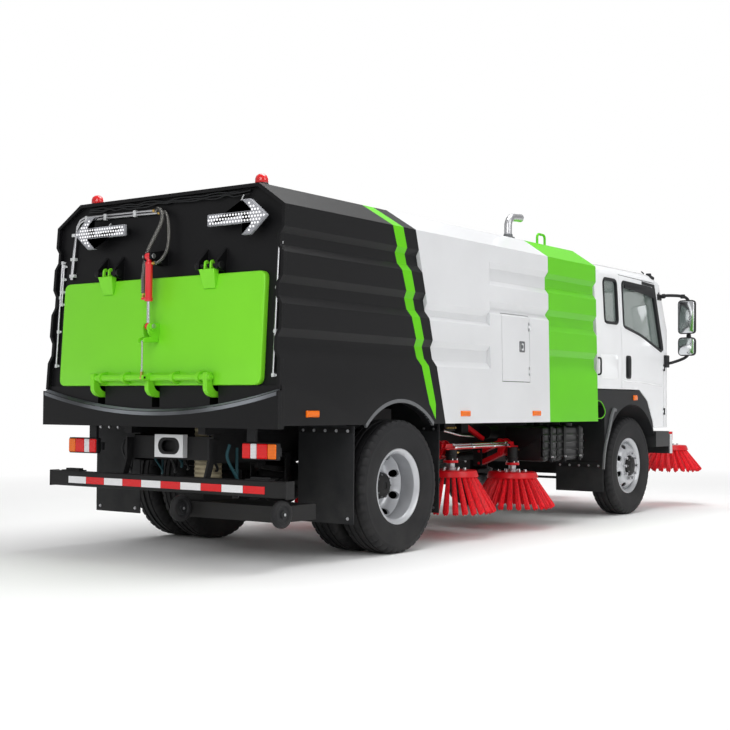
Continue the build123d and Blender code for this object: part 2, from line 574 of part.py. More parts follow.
skirt_cover = skirt_cover - [box((cover_x[0] - 5, cover_x[1] + 5), (y - 30, y + 30), (ARCH_LOW + 20, ARCH_LOW + 100)) for y in HOOK_YS]
pieces["hopper_shell"] = group([hopper, rim, skirt_cover])

cover_rear = body_shell(COVER_GROOVES_REAR, (SPLIT_TOP_X - 60, COVER_STEP_X)) & slab(split_x, lambda z: COVER_STEP_X)
cover_front = body_shell(COVER_GROOVES_FRONT, (COVER_STEP_X, COVER_FRONT_X))
LOCKER_X = (1545.0 * REACH, 2030.0 * REACH)
LOCKER_Z = (up(1345), up(1930))
LOCKER_GAP = 5.0
locker_hole = box(LOCKER_X, (-BODY_LOW_Y - 20, BODY_LOW_Y + 20), LOCKER_Z)
locker_room = box((LOCKER_X[0] - LOCKER_GAP, LOCKER_X[1] + LOCKER_GAP), (-BODY_LOW_Y - 20, BODY_LOW_Y + 20),
                  (LOCKER_Z[0] - LOCKER_GAP, LOCKER_Z[1] + LOCKER_GAP))
LOCKER_HINGE = (LOCKER_X[1] - 2.0, 1188.4)
LOCKER_HINGE_ZS = (LOCKER_Z[0] + 95.0, LOCKER_Z[1] - 95.0)
BARREL_R = 7.0
barrels, leaves, notches, barrel_bores = [], [], [], []
hinge_x, hinge_y = LOCKER_HINGE
for z in LOCKER_HINGE_ZS:
    for near, far in ((15, 32), (-32, -15)):
        barrels.append(bar((hinge_x, hinge_y, z + near), (hinge_x, hinge_y, z + far), BARREL_R))
        barrels.append(box((hinge_x, LOCKER_X[1] + 25), (hinge_y - 22, hinge_y), (z + near, z + far)))
    notches.append(box((hinge_x - 18, hinge_x + 5), (hinge_y - 24, hinge_y + 12), (z - 38, z + 38)))
    leaves.append(bar((hinge_x, hinge_y, z - 14), (hinge_x, hinge_y, z + 14), BARREL_R))
    leaves.append(bar((hinge_x, hinge_y, z - 32), (hinge_x, hinge_y, z + 32), 4))
    leaves.append(box((hinge_x - 26, hinge_x), (hinge_y - 14, hinge_y), (z - 14, z + 14)))
    barrel_bores.append(bar((hinge_x, hinge_y, z - 40), (hinge_x, hinge_y, z + 40), 4.05))
barrels = [half for barrel_part in barrels for half in both_sides(barrel_part)]
barrel_bores = [half for bore_part in barrel_bores for half in both_sides(bore_part)]
cover = joined([cover_rear, cover_front]) - locker_room - arch
pieces["engine_cover"] = joined([cover] + barrels) - barrel_bores
half_space = box(LOCKER_X, (500, 1400), (BODY_LOW, BODY_TOP))
locker_door = joined([(cover_front & locker_hole & half_space) - notches] + leaves)
pieces["locker_door_left"] = locker_door
pieces["locker_door_right"] = mirror(locker_door, about=Plane.XZ)

tank_span = (COVER_FRONT_X + GAP, TANK_FRONT_X)
tank = body_solid(GROOVES, tank_span) - cross_plate(full_outline(under_half), (tank_span[0] - 5, tank_span[1] + 5))
HOOP_R = 12.0
HOOP_X = TANK_FRONT_X - 555.0
HOOP_Y = BODY_TOP_Y - 55.0
HOOP_HALF = 75.0
HOOP_TOP = BODY_TOP + 105.0
hoops = [pipe(((HOOP_X - HOOP_HALF, y, BODY_TOP - 10), (HOOP_X - HOOP_HALF, y, HOOP_TOP), (HOOP_X + HOOP_HALF, y, HOOP_TOP),
               (HOOP_X + HOOP_HALF, y, BODY_TOP - 10)), (35.0, 35.0), HOOP_R) for y in (-HOOP_Y, HOOP_Y)]
pieces["water_tank"] = joined([tank] + hoops)

# ---- Discharge door, its cylinder and its lock --------------------------------------------------

DOOR_CORNER_R = 60.0
door_outline = fillet(Polygon((-DOOR_Y, DOOR_LOW), (DOOR_Y, DOOR_LOW), (DOOR_Y, DOOR_TOP), (-DOOR_Y, DOOR_TOP),
                              align=None).vertices(), DOOR_CORNER_R)
door_prism = extrude(Plane(origin=(REAR_LOW_X - 200, 0, 0), x_dir=(0, 1, 0), z_dir=(1, 0, 0)) * door_outline, 400, dir=(1, 0, 0))
door = door_box((GAP, DOOR_T), (-DOOR_Y, DOOR_Y), (DOOR_LOW, DOOR_TOP)) & door_prism
arm_points = [(rear_x(DOOR_LOW + 670) - DOOR_T, DOOR_LOW + 670), (rear_x(DOOR_LOW + 670) - DOOR_T - 45, DOOR_LOW + 690),
              (DOOR_HINGE_X - 32, DOOR_HINGE_Z), (DOOR_HINGE_X - 12, DOOR_HINGE_Z + 28), (DOOR_HINGE_X + 14, DOOR_HINGE_Z + 24),
              (DOOR_HINGE_X + 22, DOOR_HINGE_Z - 24), (rear_x(DOOR_TOP) - 12, DOOR_TOP - 2)]
door_room = door_box((-5, DOOR_T + GAP), (-DOOR_Y - 5, DOOR_Y + 5), (DOOR_LOW - 5, DOOR_TOP + GAP))
arm = side_plate(arm_points, (DOOR_ARM_Y - DOOR_ARM_W / 2, DOOR_ARM_Y + DOOR_ARM_W / 2)) - door_room
PIN_HALF = DOOR_ARM_W / 2 + 3 + HINGE_EAR_T + 6
pin = bar((DOOR_HINGE_X, DOOR_ARM_Y - PIN_HALF, DOOR_HINGE_Z), (DOOR_HINGE_X, DOOR_ARM_Y + PIN_HALF, DOOR_HINGE_Z), PIN_R)
arms = both_sides(joined([arm, pin]))
LUG_GAP = 21.0                # half the space between the two plates that a rod end or lever runs in
crank_x = CYL_X
crank_top, crank_low = ROD_EYE_Z + 30, ROD_EYE_Z - 130
plates = [side_plate(((rear_x(crank_top) - DOOR_T + 4, crank_top), (crank_x - 34, ROD_EYE_Z + 10),
                      (crank_x - reach, LINK_TOP_Z + 10), (crank_x - reach, LINK_TOP_Z - 30),
                      (rear_x(crank_low) - DOOR_T + 4, crank_low)), (y - 7, y + 7)) - door_room
          for y, reach in ((-LUG_GAP - 7, 80), (LUG_GAP + 7, 80))]
SHAFT_LUG_T = 30.0
lock_lugs = []
for y in (LOCK_HALF - 110, 250.0, -250.0, 110 - LOCK_HALF):
    points = [(rear_x(LOCK_Z + h) - DOOR_T + 4, LOCK_Z + h) for h in (-46, 46)]
    points += [(LOCK_X - 34, LOCK_Z + 30), (LOCK_X - 34, LOCK_Z - 30)]
    lug = side_plate(points, (y - SHAFT_LUG_T / 2, y + SHAFT_LUG_T / 2))
    lock_lugs.append(lug - disc((LOCK_X, y, LOCK_Z), LOCK_R + 0.05, 40, "y") - door_room)
pieces["discharge_door"] = group([door] + arms + plates + lock_lugs)

eye = disc((CYL_X, 0, CYL_TOP_Z), 26, CYL_EAR_Y - 10, "y")
trunnion = disc((CYL_X, 0, CYL_TOP_Z), 12, CYL_EAR_Y + 14, "y")
tube_top = CYL_TOP_Z - 45
neck = bar((CYL_X, 0, CYL_TOP_Z), (CYL_X, 0, tube_top - 5), 17)
bore = bar((CYL_X, 0, tube_top - 20), (CYL_X, 0, CYL_TOP_Z - CYL_LEN - 5), ROD_R + 0.05)
tube = bar((CYL_X, 0, tube_top), (CYL_X, 0, CYL_TOP_Z - CYL_LEN), CYL_R)
pieces["door_cylinder"] = joined([eye, trunnion, neck, tube]) - bore
ROD_TOP = ROD_EYE_Z + 285.0
rod = bar((CYL_X, 0, ROD_EYE_Z + 15), (CYL_X, 0, ROD_TOP), ROD_R)
rod_eye = disc((CYL_X, 0, ROD_EYE_Z), 24, LUG_GAP - 6, "y") - disc((CYL_X, 0, ROD_EYE_Z), 12, 40, "y")
pieces["door_rod"] = joined([rod, rod_eye])

lock_bar = disc((LOCK_X, 0, LOCK_Z), LOCK_R, LOCK_HALF, "y")
hook_points = ((-24, 30), (24, 30), (24, -60), (70, -105), (150, -112), (150, -142), (55, -142), (-24, -78))
hooks = [side_plate([(LOCK_X + a, LOCK_Z + u) for a, u in hook_points], (y - HOOK_W / 2, y + HOOK_W / 2)) for y in HOOK_YS]
lever = flat_bar((LOCK_X, LOCK_Z), (LOCK_X - LEVER, LOCK_Z), 30, (LINK_Y - 8, LINK_Y + 8))
lever_pin = bar((LOCK_X - LEVER, LINK_Y - 8, LOCK_Z), (LOCK_X - LEVER, LINK_Y + 26, LOCK_Z), 8)
pieces["lock_shaft"] = joined([lock_bar, lever, lever_pin] + hooks)
link_y = LINK_Y + 17
link_bar = bar((LOCK_X - LEVER, link_y, LOCK_Z + 10), (LOCK_X - LEVER, link_y, LINK_TOP_Z), 7)
link_eye = disc((LOCK_X - LEVER, link_y, LOCK_Z), 17, 8, "y") - disc((LOCK_X - LEVER, link_y, LOCK_Z), 8.05, 20, "y")
pieces["lock_link"] = joined([link_bar, link_eye])

# ---- Rear fittings ------------------------------------------------------------------------------

BAR_X = (-1384.0, -1300.0)
BAR_Z = (490.0, 604.0)
BAR_Y = 1205.0
underrun = box(BAR_X, (-BAR_Y, BAR_Y), BAR_Z)
struts = both_sides(flat_bar((-1330, 590), (-1235, 860), 60, (RAIL_Y + GAP, RAIL_Y + 22)))
stays = both_sides(box((-1320, -1200), (RAIL_Y + GAP, RAIL_Y + 22), (720, 880)))
pieces["underrun_bar"] = joined([underrun] + struts + stays)

LAMP_X = (-1330.0, -1274.0)
LAMP_Y = (744.0, 1062.0)
LAMP_Z = (742.0, 866.0)
lamp = box(LAMP_X, LAMP_Y, LAMP_Z)
BEACON_X = -1250.0
BEACON_Y = 845.0
BEACON_R = 52.0
BEACON_H = 84.0
beacon = disc((BEACON_X, BEACON_Y, BODY_TOP + GAP + BEACON_H / 2), BEACON_R, BEACON_H / 2, "z")
lamp_post = box((LAMP_X[1] - 30, LAMP_X[1]), (760, 860), (LAMP_Z[1] - 5, FLOOR_LOW - GAP))
pieces["lamps"] = group(both_sides(beacon) + both_sides(joined([lamp, lamp_post])))

ARROW_Z = BODY_EAVE - 79.0
ARROW_YS = (615.0, -792.0)    # middle of each board
arrow_half = ((-270, 0), (-120, 124), (-38, 124), (-132, 42), (282, 42), (282, -42), (-132, -42), (-38, -124), (-120, -124))


def arrow(middle, side):
    """An arrow board on two stand-offs, pointing to its own side."""
    plate_x = (rear_x(ARROW_Z) - 105, rear_x(ARROW_Z) - 65)
    plate = cross_plate([(middle - side * y, ARROW_Z + z) for y, z in arrow_half], plate_x)
    posts = [door_box((GAP, 70), (middle - side * y - 40, middle - side * y + 40), (ARROW_Z - 30, ARROW_Z + 30)) for y in (-90, 200)]
    return joined([plate] + posts)


pieces["arrow_boards"] = group([arrow(y, side) for y, side in zip(ARROW_YS, (1, -1))])

# flaps in pairs: x, inner y, outer y, low z, top z
FLAP_TOP = FLOOR_LOW - GAP
FLAPS = ((665.0, 640.0, SKIRT_Y - 5, 262.0, FLAP_TOP), (WHEELBASE - 688 - GAP, 520.0, 1050.0, 267.0, 560.0))
FLAP_T = 12.0
flaps = [flap for x, inner, outer, low, top in FLAPS for flap in both_sides(box((x - FLAP_T, x), (inner, outer), (low, top)))]
# flaps behind the rear wheels, wider below the body's skirts: side, x, inner y
for side, x, inner in ((1, -900.0, 690.0), (-1, -595.0, 674.0)):
    flap_x = (x - FLAP_T, x)
    flaps.append(joined([box(flap_x, (side * inner, side * (SKIRT_Y - 5)), (262.0, FLAP_TOP)),
                         box(flap_x, (side * (SKIRT_Y - 10), side * 1190.0), (262.0, BODY_LOW - 10))]))
pieces["mud_flaps"] = group(flaps)

STACK_X = COVER_FRONT_X - 172.0
STACK_Y = 70.0 - BODY_TOP_Y
stack = pipe(((STACK_X, STACK_Y, BODY_TOP + GAP), (STACK_X, STACK_Y, BODY_TOP + 210), (STACK_X + 230, STACK_Y, BODY_TOP + 225)),
             (90.0,), 38)
stack_flange = bar((STACK_X, STACK_Y, BODY_TOP + GAP), (STACK_X, STACK_Y, BODY_TOP + 14), 62)
stack = joined([stack, stack_flange])

PIPE_R = 9.0
pipe_x = rear_x(BODY_EAVE + 94) - 14
line = pipe(((pipe_x, 60, BODY_EAVE + 54), (pipe_x, 930, BODY_EAVE + 34), (rear_x(up(2090)) - 14, 975, up(2090))), (60.0,), PIPE_R)
clips = [door_box((GAP, 12), (y - 15, y + 15), (z - 20, z + 20)) for y, z in ((400, BODY_EAVE + 46), (954, up(2300)))]
pieces["hydraulic_pipes"] = joined([line] + clips)

HOSE_X = -1080.0
HOSE_Y = -200.0
HOSE_R = 105.0
HOSE_LOW = 380.0
pieces["suction_hose"] = bar((HOSE_X, HOSE_Y, HOSE_LOW), (HOSE_X, HOSE_Y, FLOOR_LOW - GAP), HOSE_R)

NOZZLE_X = (-1330.0, -930.0)
NOZZLE_Y = (-1100.0, -70.0)
NOZZLE_Z = (318.0, 430.0)
MOUTH_X = (-1250.0, -966.0)   # opening in its top that the hose reaches into
nozzle_box = box(NOZZLE_X, NOZZLE_Y, NOZZLE_Z)
nozzle_room = box((NOZZLE_X[0] + 20, NOZZLE_X[1] - 20), (NOZZLE_Y[0] + 20, NOZZLE_Y[1] - 20), (NOZZLE_Z[0] - 5, NOZZLE_Z[1] - 20))
hose_ys = (HOSE_Y - HOSE_R - 10, HOSE_Y + HOSE_R + 10)
collar = box((MOUTH_X[0] - 12, MOUTH_X[1] + 12), (hose_ys[0] - 12, hose_ys[1] + 12), (NOZZLE_Z[1] - 5, NOZZLE_Z[1] + 50))
collar_hole = box(MOUTH_X, hose_ys, (NOZZLE_Z[0] - 5, NOZZLE_Z[1] + 80))
nozzle_arms = [flat_bar(NOZZLE_PIVOT, (NOZZLE_X[1] - 10, NOZZLE_Z[1] - 30), 44, (y - 13, y + 13)) for y in NOZZLE_ARM_YS]
nozzle_pin = bar((NOZZLE_PIVOT[0], -480, NOZZLE_PIVOT[1]), (NOZZLE_PIVOT[0], -75, NOZZLE_PIVOT[1]), NOZZLE_PIN_R)
# casters: name, x, y
CASTERS = (("right", -1390.0, -1168.0), ("left", -1430.0, -265.0))
CASTER_Z = 385.0
CASTER_R = 95.0
CASTER_W = 50.0
CASTER_PIN_R = 12.0

shapes = [nozzle_box - nozzle_room, collar - collar_hole, nozzle_pin] + nozzle_arms
for name, x, y in CASTERS:
    arm_y = y + CASTER_W / 2 + 15
    shapes.append(flat_bar((x + 112, CASTER_Z + 8), (x, CASTER_Z), 44, (arm_y - 9, arm_y + 9)))
    shapes.append(disc((x, arm_y, CASTER_Z), 22, 9, "y"))
    shapes.append(bar((x, arm_y, CASTER_Z), (x, y - CASTER_W / 2 - 4, CASTER_Z), CASTER_PIN_R))
    tread = disc((x, y, CASTER_Z), CASTER_R, CASTER_W / 2, "y")
    pieces[f"caster_{name}"] = tread - disc((x, y, CASTER_Z), CASTER_PIN_R + 0.05, CASTER_W, "y")
shapes.append(box((-1300, -1240), (-1136, NOZZLE_Y[0] + 10), (CASTER_Z - 20, CASTER_Z + 25)))
pieces["suction_nozzle"] = joined(shapes) - collar_hole

# ---- Side tanks, bumper and fenders -------------------------------------------------------------

TANKS_X = (TANK_FRONT_X - 560, TANK_FRONT_X - 10)
STRAP_XS = (TANKS_X[0] + 120, TANKS_X[1] - 120)
fuel = box(TANKS_X, (-1060, -620), (610, 940))
straps = [box((x - 25, x + 25), (-640, -RAIL_Y - GAP), (700, 760)) for x in STRAP_XS]
air = box(TANKS_X, (620, 1060), (610, 940))
air_straps = [box((x - 25, x + 25), (RAIL_Y + GAP, 640), (700, 760)) for x in STRAP_XS]
pieces["side_tanks"] = group([joined([fuel] + straps), joined([air] + air_straps)])

BUMPER_Z = (614.0, 828.0)
BUMPER_REAR = CAB_NOSE - 100.0
STEP_Z = (BUMPER_Z[0] + 80, BUMPER_Z[1] + 34)
bumper = box((BUMPER_REAR, CAB_NOSE), (-CAB_Y, CAB_Y), BUMPER_Z)
steps = both_sides(box((CAB_NOSE - 445, BUMPER_REAR + 5), (CAB_Y - 240, CAB_Y), STEP_Z))
holders = both_sides(box((RAIL_FRONT + GAP, BUMPER_REAR + 5), (RAIL_Y - 60, RAIL_Y), (RAIL_LOW + 20, BUMPER_Z[1] - 20)))
tow_slot = box((BUMPER_REAR - 40, CAB_NOSE + 20), (-60, 60), (TOW_Z - TOW_H / 2 - 10, TOW_Z + TOW_H / 2 + 10))
pieces["front_bumper"] = joined([bumper] + steps + holders) - tow_slot

ARCH_X = WHEELBASE - 30.0
ARCH_Z = 500.0
CAB_ARCH_R = 655.0
FENDER_REAR = ARCH_X - 658.0
fender_points = ((CAB_REAR, FENDER_TOP), (ARCH_X + 182, FENDER_TOP), (ARCH_X + 380, FENDER_TOP - 110),
                 (ARCH_X + 520, FENDER_TOP - 320), (ARCH_X + 607, 703), (ARCH_X + 520, 703), (ARCH_X, ARCH_Z),
                 (FENDER_REAR, ARCH_Z - 5), (FENDER_REAR, 1138), (CAB_REAR, FENDER_TOP - 100))
fender = side_plate(fender_points, (560, CAB_Y)) - disc((ARCH_X, 800, ARCH_Z), CAB_ARCH_R, 300, "y")
foot = box(CAB_POST_X, (RAIL_Y + GAP, 570), (FENDER_TOP - 90, FENDER_TOP - 10))
pieces["front_fenders"] = group(both_sides(joined([fender, foot])))

# ---- Cab ----------------------------------------------------------------------------------------

NOSE_CORNER_R = 190.0
ROOF_CORNER_R = 120.0


# lower edge of the cab and its doors, over the fender
DOOR_EDGE = ((ARCH_X + 190, FENDER_TOP + CAB_CLEAR), (ARCH_X + 392, FENDER_TOP - 102), (ARCH_X + 532, FENDER_TOP - 316),
             (ARCH_X + 560, CAB_LOW))


def cab_side(inset):
    """The cab's side outline as (x, z) points, moved inward; its lower edge follows the fender."""
    low = CAB_FLOOR if inset else 0
    lower = ((CAB_REAR, FENDER_TOP + CAB_CLEAR),) + DOOR_EDGE
    upper = ((CAB_NOSE, CAB_LOW), (CAB_NOSE, CAB_BELT - 500), (CAB_NOSE - 50, CAB_BELT), (CAB_NOSE - 278, CAB_ROOF - 120),
             (CAB_NOSE - 420, CAB_ROOF - 25), (CAB_NOSE - 640, CAB_ROOF), (CAB_REAR + 260, CAB_ROOF),
             (CAB_REAR + 60, CAB_ROOF - 30), (CAB_REAR, CAB_ROOF - 110))
    if not inset:
        return lower + upper
    inner = ((CAB_NOSE - inset, CAB_BELT - 500), (CAB_NOSE - 50 - inset, CAB_BELT), (CAB_NOSE - 278 - inset, CAB_ROOF - 128),
             (CAB_NOSE - 430, CAB_ROOF - 25 - inset), (CAB_NOSE - 640, CAB_ROOF - inset), (CAB_REAR + 260, CAB_ROOF - inset),
             (CAB_REAR + 80, CAB_ROOF - 30 - inset), (CAB_REAR + inset, CAB_ROOF - 120))
    step_x = ARCH_X + 230
    floor = ((CAB_REAR + inset, FENDER_TOP + CAB_CLEAR + inset), (step_x, FENDER_TOP + CAB_CLEAR + inset),
             (step_x, CAB_FLOOR + inset), (CAB_NOSE - inset, CAB_FLOOR + inset))
    return floor + inner


def cab_column(inset):
    """The cab's outlines from above and from the front, crossed and moved inward."""
    y = CAB_Y - inset
    nose = CAB_NOSE - inset
    r = NOSE_CORNER_R - inset
    plan = Plane.XY.offset(CAB_LOW - 50) * fillet(
        Polygon((CAB_REAR - 50, -y), (nose, -y), (nose, y), (CAB_REAR - 50, y), align=None).vertices().sort_by(Axis.X)[-2:], r)
    top = CAB_TOP_Y - inset
    front_points = ((y, CAB_LOW - 60), (y, CAB_BELT), (top, CAB_ROOF - inset), (-top, CAB_ROOF - inset), (-y, CAB_BELT),
                    (-y, CAB_LOW - 60))
    front = Plane(origin=(CAB_REAR - 100, 0, 0), x_dir=(0, 1, 0), z_dir=(1, 0, 0)) * fillet(
        Polygon(*front_points, align=None).vertices().sort_by(Axis.Y)[-2:], ROOF_CORNER_R - inset)
    return extrude(plan, CAB_ROOF - CAB_LOW + 300, dir=(0, 0, 1)) & extrude(front, CAB_NOSE - CAB_REAR + 300, dir=(1, 0, 0))


def cab_form(inset):
    """The cab's solid form: its outline from the side through its column."""
    return side_plate(cab_side(inset), (-CAB_Y - 20, CAB_Y + 20)) & cab_column(inset)


def side_prism(points, side):
    """An (x, z) outline through one side of the cab."""
    return side_plate(points, (side * (CAB_Y - 200), side * (CAB_Y + 60)))


DOOR_TOP_X = CAB_NOSE - 410.0
DOOR_POINTS = ((SEAM_REAR_X, FENDER_TOP + CAB_CLEAR),) + DOOR_EDGE + (
    (SEAM_FRONT_X, CAB_LOW), (SEAM_FRONT_X, CAB_BELT + 40), (DOOR_TOP_X, CAB_ROOF - 110), (SEAM_REAR_X, CAB_ROOF - 90))
HOLE_POINTS = ((SEAM_REAR_X - SEAM, CAB_LOW - 100), (SEAM_FRONT_X + SEAM, CAB_LOW - 100), (SEAM_FRONT_X + SEAM, CAB_BELT + 42),
               (DOOR_TOP_X + 7, CAB_ROOF - 110 + SEAM), (SEAM_REAR_X - SEAM, CAB_ROOF - 90 + SEAM))
WINDOW_POINTS = ((SEAM_REAR_X + 60, CAB_BELT + 215), (SEAM_REAR_X + 155, CAB_BELT + 199), (SEAM_REAR_X + 485, CAB_BELT + 140),
                 (SEAM_FRONT_X - 50, CAB_BELT - 15), (SEAM_FRONT_X - 55, CAB_BELT + 40), (DOOR_TOP_X - 45, CAB_ROOF - 165),
                 (SEAM_REAR_X + 90, CAB_ROOF - 150), (SEAM_REAR_X + 60, CAB_ROOF - 180))
QUARTER_POINTS = ((CAB_REAR + 203, CAB_BELT + 235), (SEAM_REAR_X - 70, CAB_BELT + 235), (SEAM_REAR_X - 70, CAB_ROOF - 150),
                  (CAB_REAR + 240, CAB_ROOF - 150), (CAB_REAR + 203, CAB_ROOF - 190))
PANE_IN = 16.0                # panes lie this far inside the outer skin

outer = cab_form(0)
inner = cab_form(CAB_WALL)
skin = outer - inner
pane_skin = cab_form(PANE_IN) - cab_form(PANE_IN + GLASS_T)
well = box((ARCH_X + 130, CAB_NOSE - 60), (-CAB_Y + CAB_WALL, CAB_Y - CAB_WALL), (CAB_LOW - 10, CAB_FLOOR))
shield_z = (CAB_BELT + 80, CAB_ROOF - 150)
shield = cross_plate(((-880, shield_z[0]), (880, shield_z[0]), (860, shield_z[1]), (-860, shield_z[1])),
                     (CAB_NOSE - 540, CAB_NOSE + 160))
back_light_z = (CAB_BELT + 200, CAB_ROOF - 290)
back_light = box((CAB_REAR - 20, CAB_REAR + 100), (-400, 400), back_light_z)
panes = [pane_skin & shield]
for side in (1, -1):
    panes.append(pane_skin & side_prism(QUARTER_POINTS, side))
rear_pane = box((CAB_REAR + PANE_IN, CAB_REAR + PANE_IN + GLASS_T), (-400, 400), back_light_z)
door_holes = [side_prism(HOLE_POINTS, side) for side in (1, -1)]
door_holes = joined(door_holes) - cab_column(CAB_WALL + SEAM)
holes = [door_holes] + [side_prism(QUARTER_POINTS, side) for side in (1, -1)]

# hinges of the doors, in front of their front edges
DOOR_AXIS = (SEAM_FRONT_X + SEAM / 2, CAB_Y + 10.0)
DOOR_HINGE_ZS = (1080.0, 1560.0)
KNUCKLE_R = 8.0
PINTLE_R = 4.0
axis_x, axis_y = DOOR_AXIS
cab_barrels, door_barrels, cab_barrel_bores = [], [], []
for z in DOOR_HINGE_ZS:
    for near, far in ((16, 34), (-34, -16)):
        cab_barrels.append(bar((axis_x, axis_y, z + near), (axis_x, axis_y, z + far), KNUCKLE_R))
        cab_barrels.append(box((axis_x, axis_x + 34), (CAB_Y - 10, axis_y), (z + near, z + far)))
    door_barrels.append(bar((axis_x, axis_y, z - 15), (axis_x, axis_y, z + 15), KNUCKLE_R))
    door_barrels.append(bar((axis_x, axis_y, z - 34), (axis_x, axis_y, z + 34), PINTLE_R))
    door_barrels.append(box((axis_x - 34, axis_x), (CAB_Y - 10, axis_y), (z - 15, z + 15)))
    cab_barrel_bores.append(bar((axis_x, axis_y, z - 40), (axis_x, axis_y, z + 40), PINTLE_R + 0.05))
cab_barrels = [half for part in cab_barrels for half in both_sides(part)]
cab_barrel_bores = [half for part in cab_barrel_bores for half in both_sides(part)]
lug_points = ((CAB_PIVOT_X - 24, CAB_PIVOT_Z - 24), (CAB_NOSE - 40, CAB_PIVOT_Z - 24), (CAB_NOSE - 40, CAB_PIVOT_Z + 80),
              (CAB_NOSE - 60, CAB_PIVOT_Z + 80), (CAB_PIVOT_X - 24, CAB_PIVOT_Z + 26))
PIVOT_LUG_Y = (356.0, 384.0)
lugs = both_sides(side_plate(lug_points, PIVOT_LUG_Y))
pivots = both_sides(bar((CAB_PIVOT_X, 334, CAB_PIVOT_Z), (CAB_PIVOT_X, 406, CAB_PIVOT_Z), PIVOT_R))
pieces["cab_shell"] = joined([skin - well - shield - back_light - holes] + lugs + pivots + cab_barrels) - cab_barrel_bores
pieces["cab_glass"] = group(panes + [rear_pane])
for name, side in (("left", 1), ("right", -1)):
    leaf = (outer & side_prism(DOOR_POINTS, side)) - cab_column(CAB_WALL)
    window = side_prism(WINDOW_POINTS, side)
    barrels = door_barrels if side > 0 else [mirror(part, about=Plane.XZ) for part in door_barrels]
    pieces[f"door_{name}"] = group([joined([leaf - window] + barrels), pane_skin & window])

BENCH_FLOOR = FENDER_TOP + CAB_CLEAR + CAB_WALL
SEAT_X = SEAM_REAR_X + 10     # rear of the cushions
seat = side_plate(((SEAT_X, BENCH_FLOOR + 180), (SEAT_X + 520, BENCH_FLOOR + 200), (SEAT_X + 520, BENCH_FLOOR + 320),
                   (SEAT_X + 130, BENCH_FLOOR + 310), (SEAT_X - 10, BENCH_FLOOR + 930), (SEAT_X - 120, BENCH_FLOOR + 910)),
                  (290, 790))
base = box((SEAT_X + 100, SEAT_X + 420), (350, 730), (BENCH_FLOOR + GAP, BENCH_FLOOR + 220))
DASH_LOW = CAB_FLOOR + CAB_WALL + GAP
dash = side_plate(((CAB_NOSE - 370, DASH_LOW), (CAB_NOSE - 260, DASH_LOW), (CAB_NOSE - 140, CAB_BELT - 10),
                   (CAB_NOSE - 340, CAB_BELT + 40), (CAB_NOSE - 480, CAB_BELT - 50), (CAB_NOSE - 460, CAB_BELT - 190)), (-960, 960))
WHEEL_C = (CAB_NOSE - 555, 540.0, CAB_BELT + 40)
COLUMN_FOOT = (CAB_NOSE - 390, WHEEL_C[1], CAB_BELT - 130)
column = bar(COLUMN_FOOT, WHEEL_C, 26)
axis = (Vector(*WHEEL_C) - Vector(*COLUMN_FOOT)).normalized()
ring = Plane(origin=WHEEL_C, z_dir=axis) * Torus(215, 15)
spoke = Plane(origin=WHEEL_C, z_dir=axis) * Box(410, 50, 14)
pieces["cab_interior"] = group(both_sides(joined([seat, base])) + [joined([dash, column, ring, spoke])])

MIRROR_X = CAB_NOSE - 120
MIRROR_Y = 1290.0
head = box((MIRROR_X - 45, MIRROR_X + 45), (MIRROR_Y - 105, MIRROR_Y + 105), (1930, 2310))
small_head = box((MIRROR_X - 45, MIRROR_X + 45), (MIRROR_Y - 105, MIRROR_Y + 105), (1690, 1900))
mast = bar((MIRROR_X + 30, MIRROR_Y, 1700), (MIRROR_X + 30, MIRROR_Y, 2300), 16)
top_arm = bar((MIRROR_X + 30, MIRROR_Y, 2290), (CAB_NOSE - 255, CAB_TOP_Y - 2, 2330), 14)
low_arm = bar((MIRROR_X + 30, MIRROR_Y, 1720), (CAB_NOSE - 140, CAB_Y - 22, 1560), 14)
mirror_set = joined([head, small_head, mast, top_arm, low_arm]) - outer
pieces["mirrors"] = group(both_sides(mirror_set))

grille_bars = [box((CAB_NOSE + GAP, CAB_NOSE + 22), (-780, 780), (z, z + 44)) for z in (1000, 1080, 1160)]
grille_back = box((CAB_NOSE + GAP, CAB_NOSE + 8), (-800, 800), (980, 1230))
pieces["grille"] = joined([grille_back] + grille_bars)

INTAKE_X = TANK_FRONT_X + 125.0
INTAKE_Y = -900.0
intake = pipe(((INTAKE_X, INTAKE_Y, 1200), (INTAKE_X, INTAKE_Y, 2250), (INTAKE_X, INTAKE_Y + 200, 2420)), (120.0,), 85)
intake_brackets = [box((TANK_FRONT_X + GAP, INTAKE_X - 70), (INTAKE_Y - 30, INTAKE_Y + 30), (z, z + 60)) for z in (1500, 2100)]
pieces["engine_ducts"] = group([stack, joined([intake] + intake_brackets)])

# ---- Brushes ------------------------------------------------------------------------------------

BUNDLES = 28
RING_R = 200.0                # where the bundles leave the cap
BUNDLE_R = (17.0, 30.0)       # of a bundle at the cap and at its tip
CAP_H = 55.0
STUB_R = 45.0
STUB_H = 60.0                 # from the cap's top to the motor


def rotor(low, top):
    """A brush: a cap with a stub on top and a cone of separate bristle bundles, about the Z axis."""
    cap = Pos(0, 0, top - CAP_H / 2) * Cone(CAP_R, CAP_R - 18, CAP_H)
    stub = bar((0, 0, top - 5), (0, 0, top + STUB_H), STUB_R)
    reach = BRUSH_R - BUNDLE_R[1] - RING_R
    drop = top - CAP_H + 12 - low
    lean = degrees(atan2(reach, drop - BUNDLE_R[1] * 0.5))
    length = hypot(reach, drop) - 14
    one = Pos(RING_R, 0, top - CAP_H + 12) * Rot(0, 180 - lean, 0) * Pos(0, 0, length / 2) * Cone(*BUNDLE_R, length)
    one = one & box((0, BRUSH_R + 50), (-BRUSH_R, BRUSH_R), (low - 50, top - CAP_H - GAP))
    return group([joined([cap, stub])] + [Rot(0, 0, 360 / BUNDLES * i) * one for i in range(BUNDLES)])


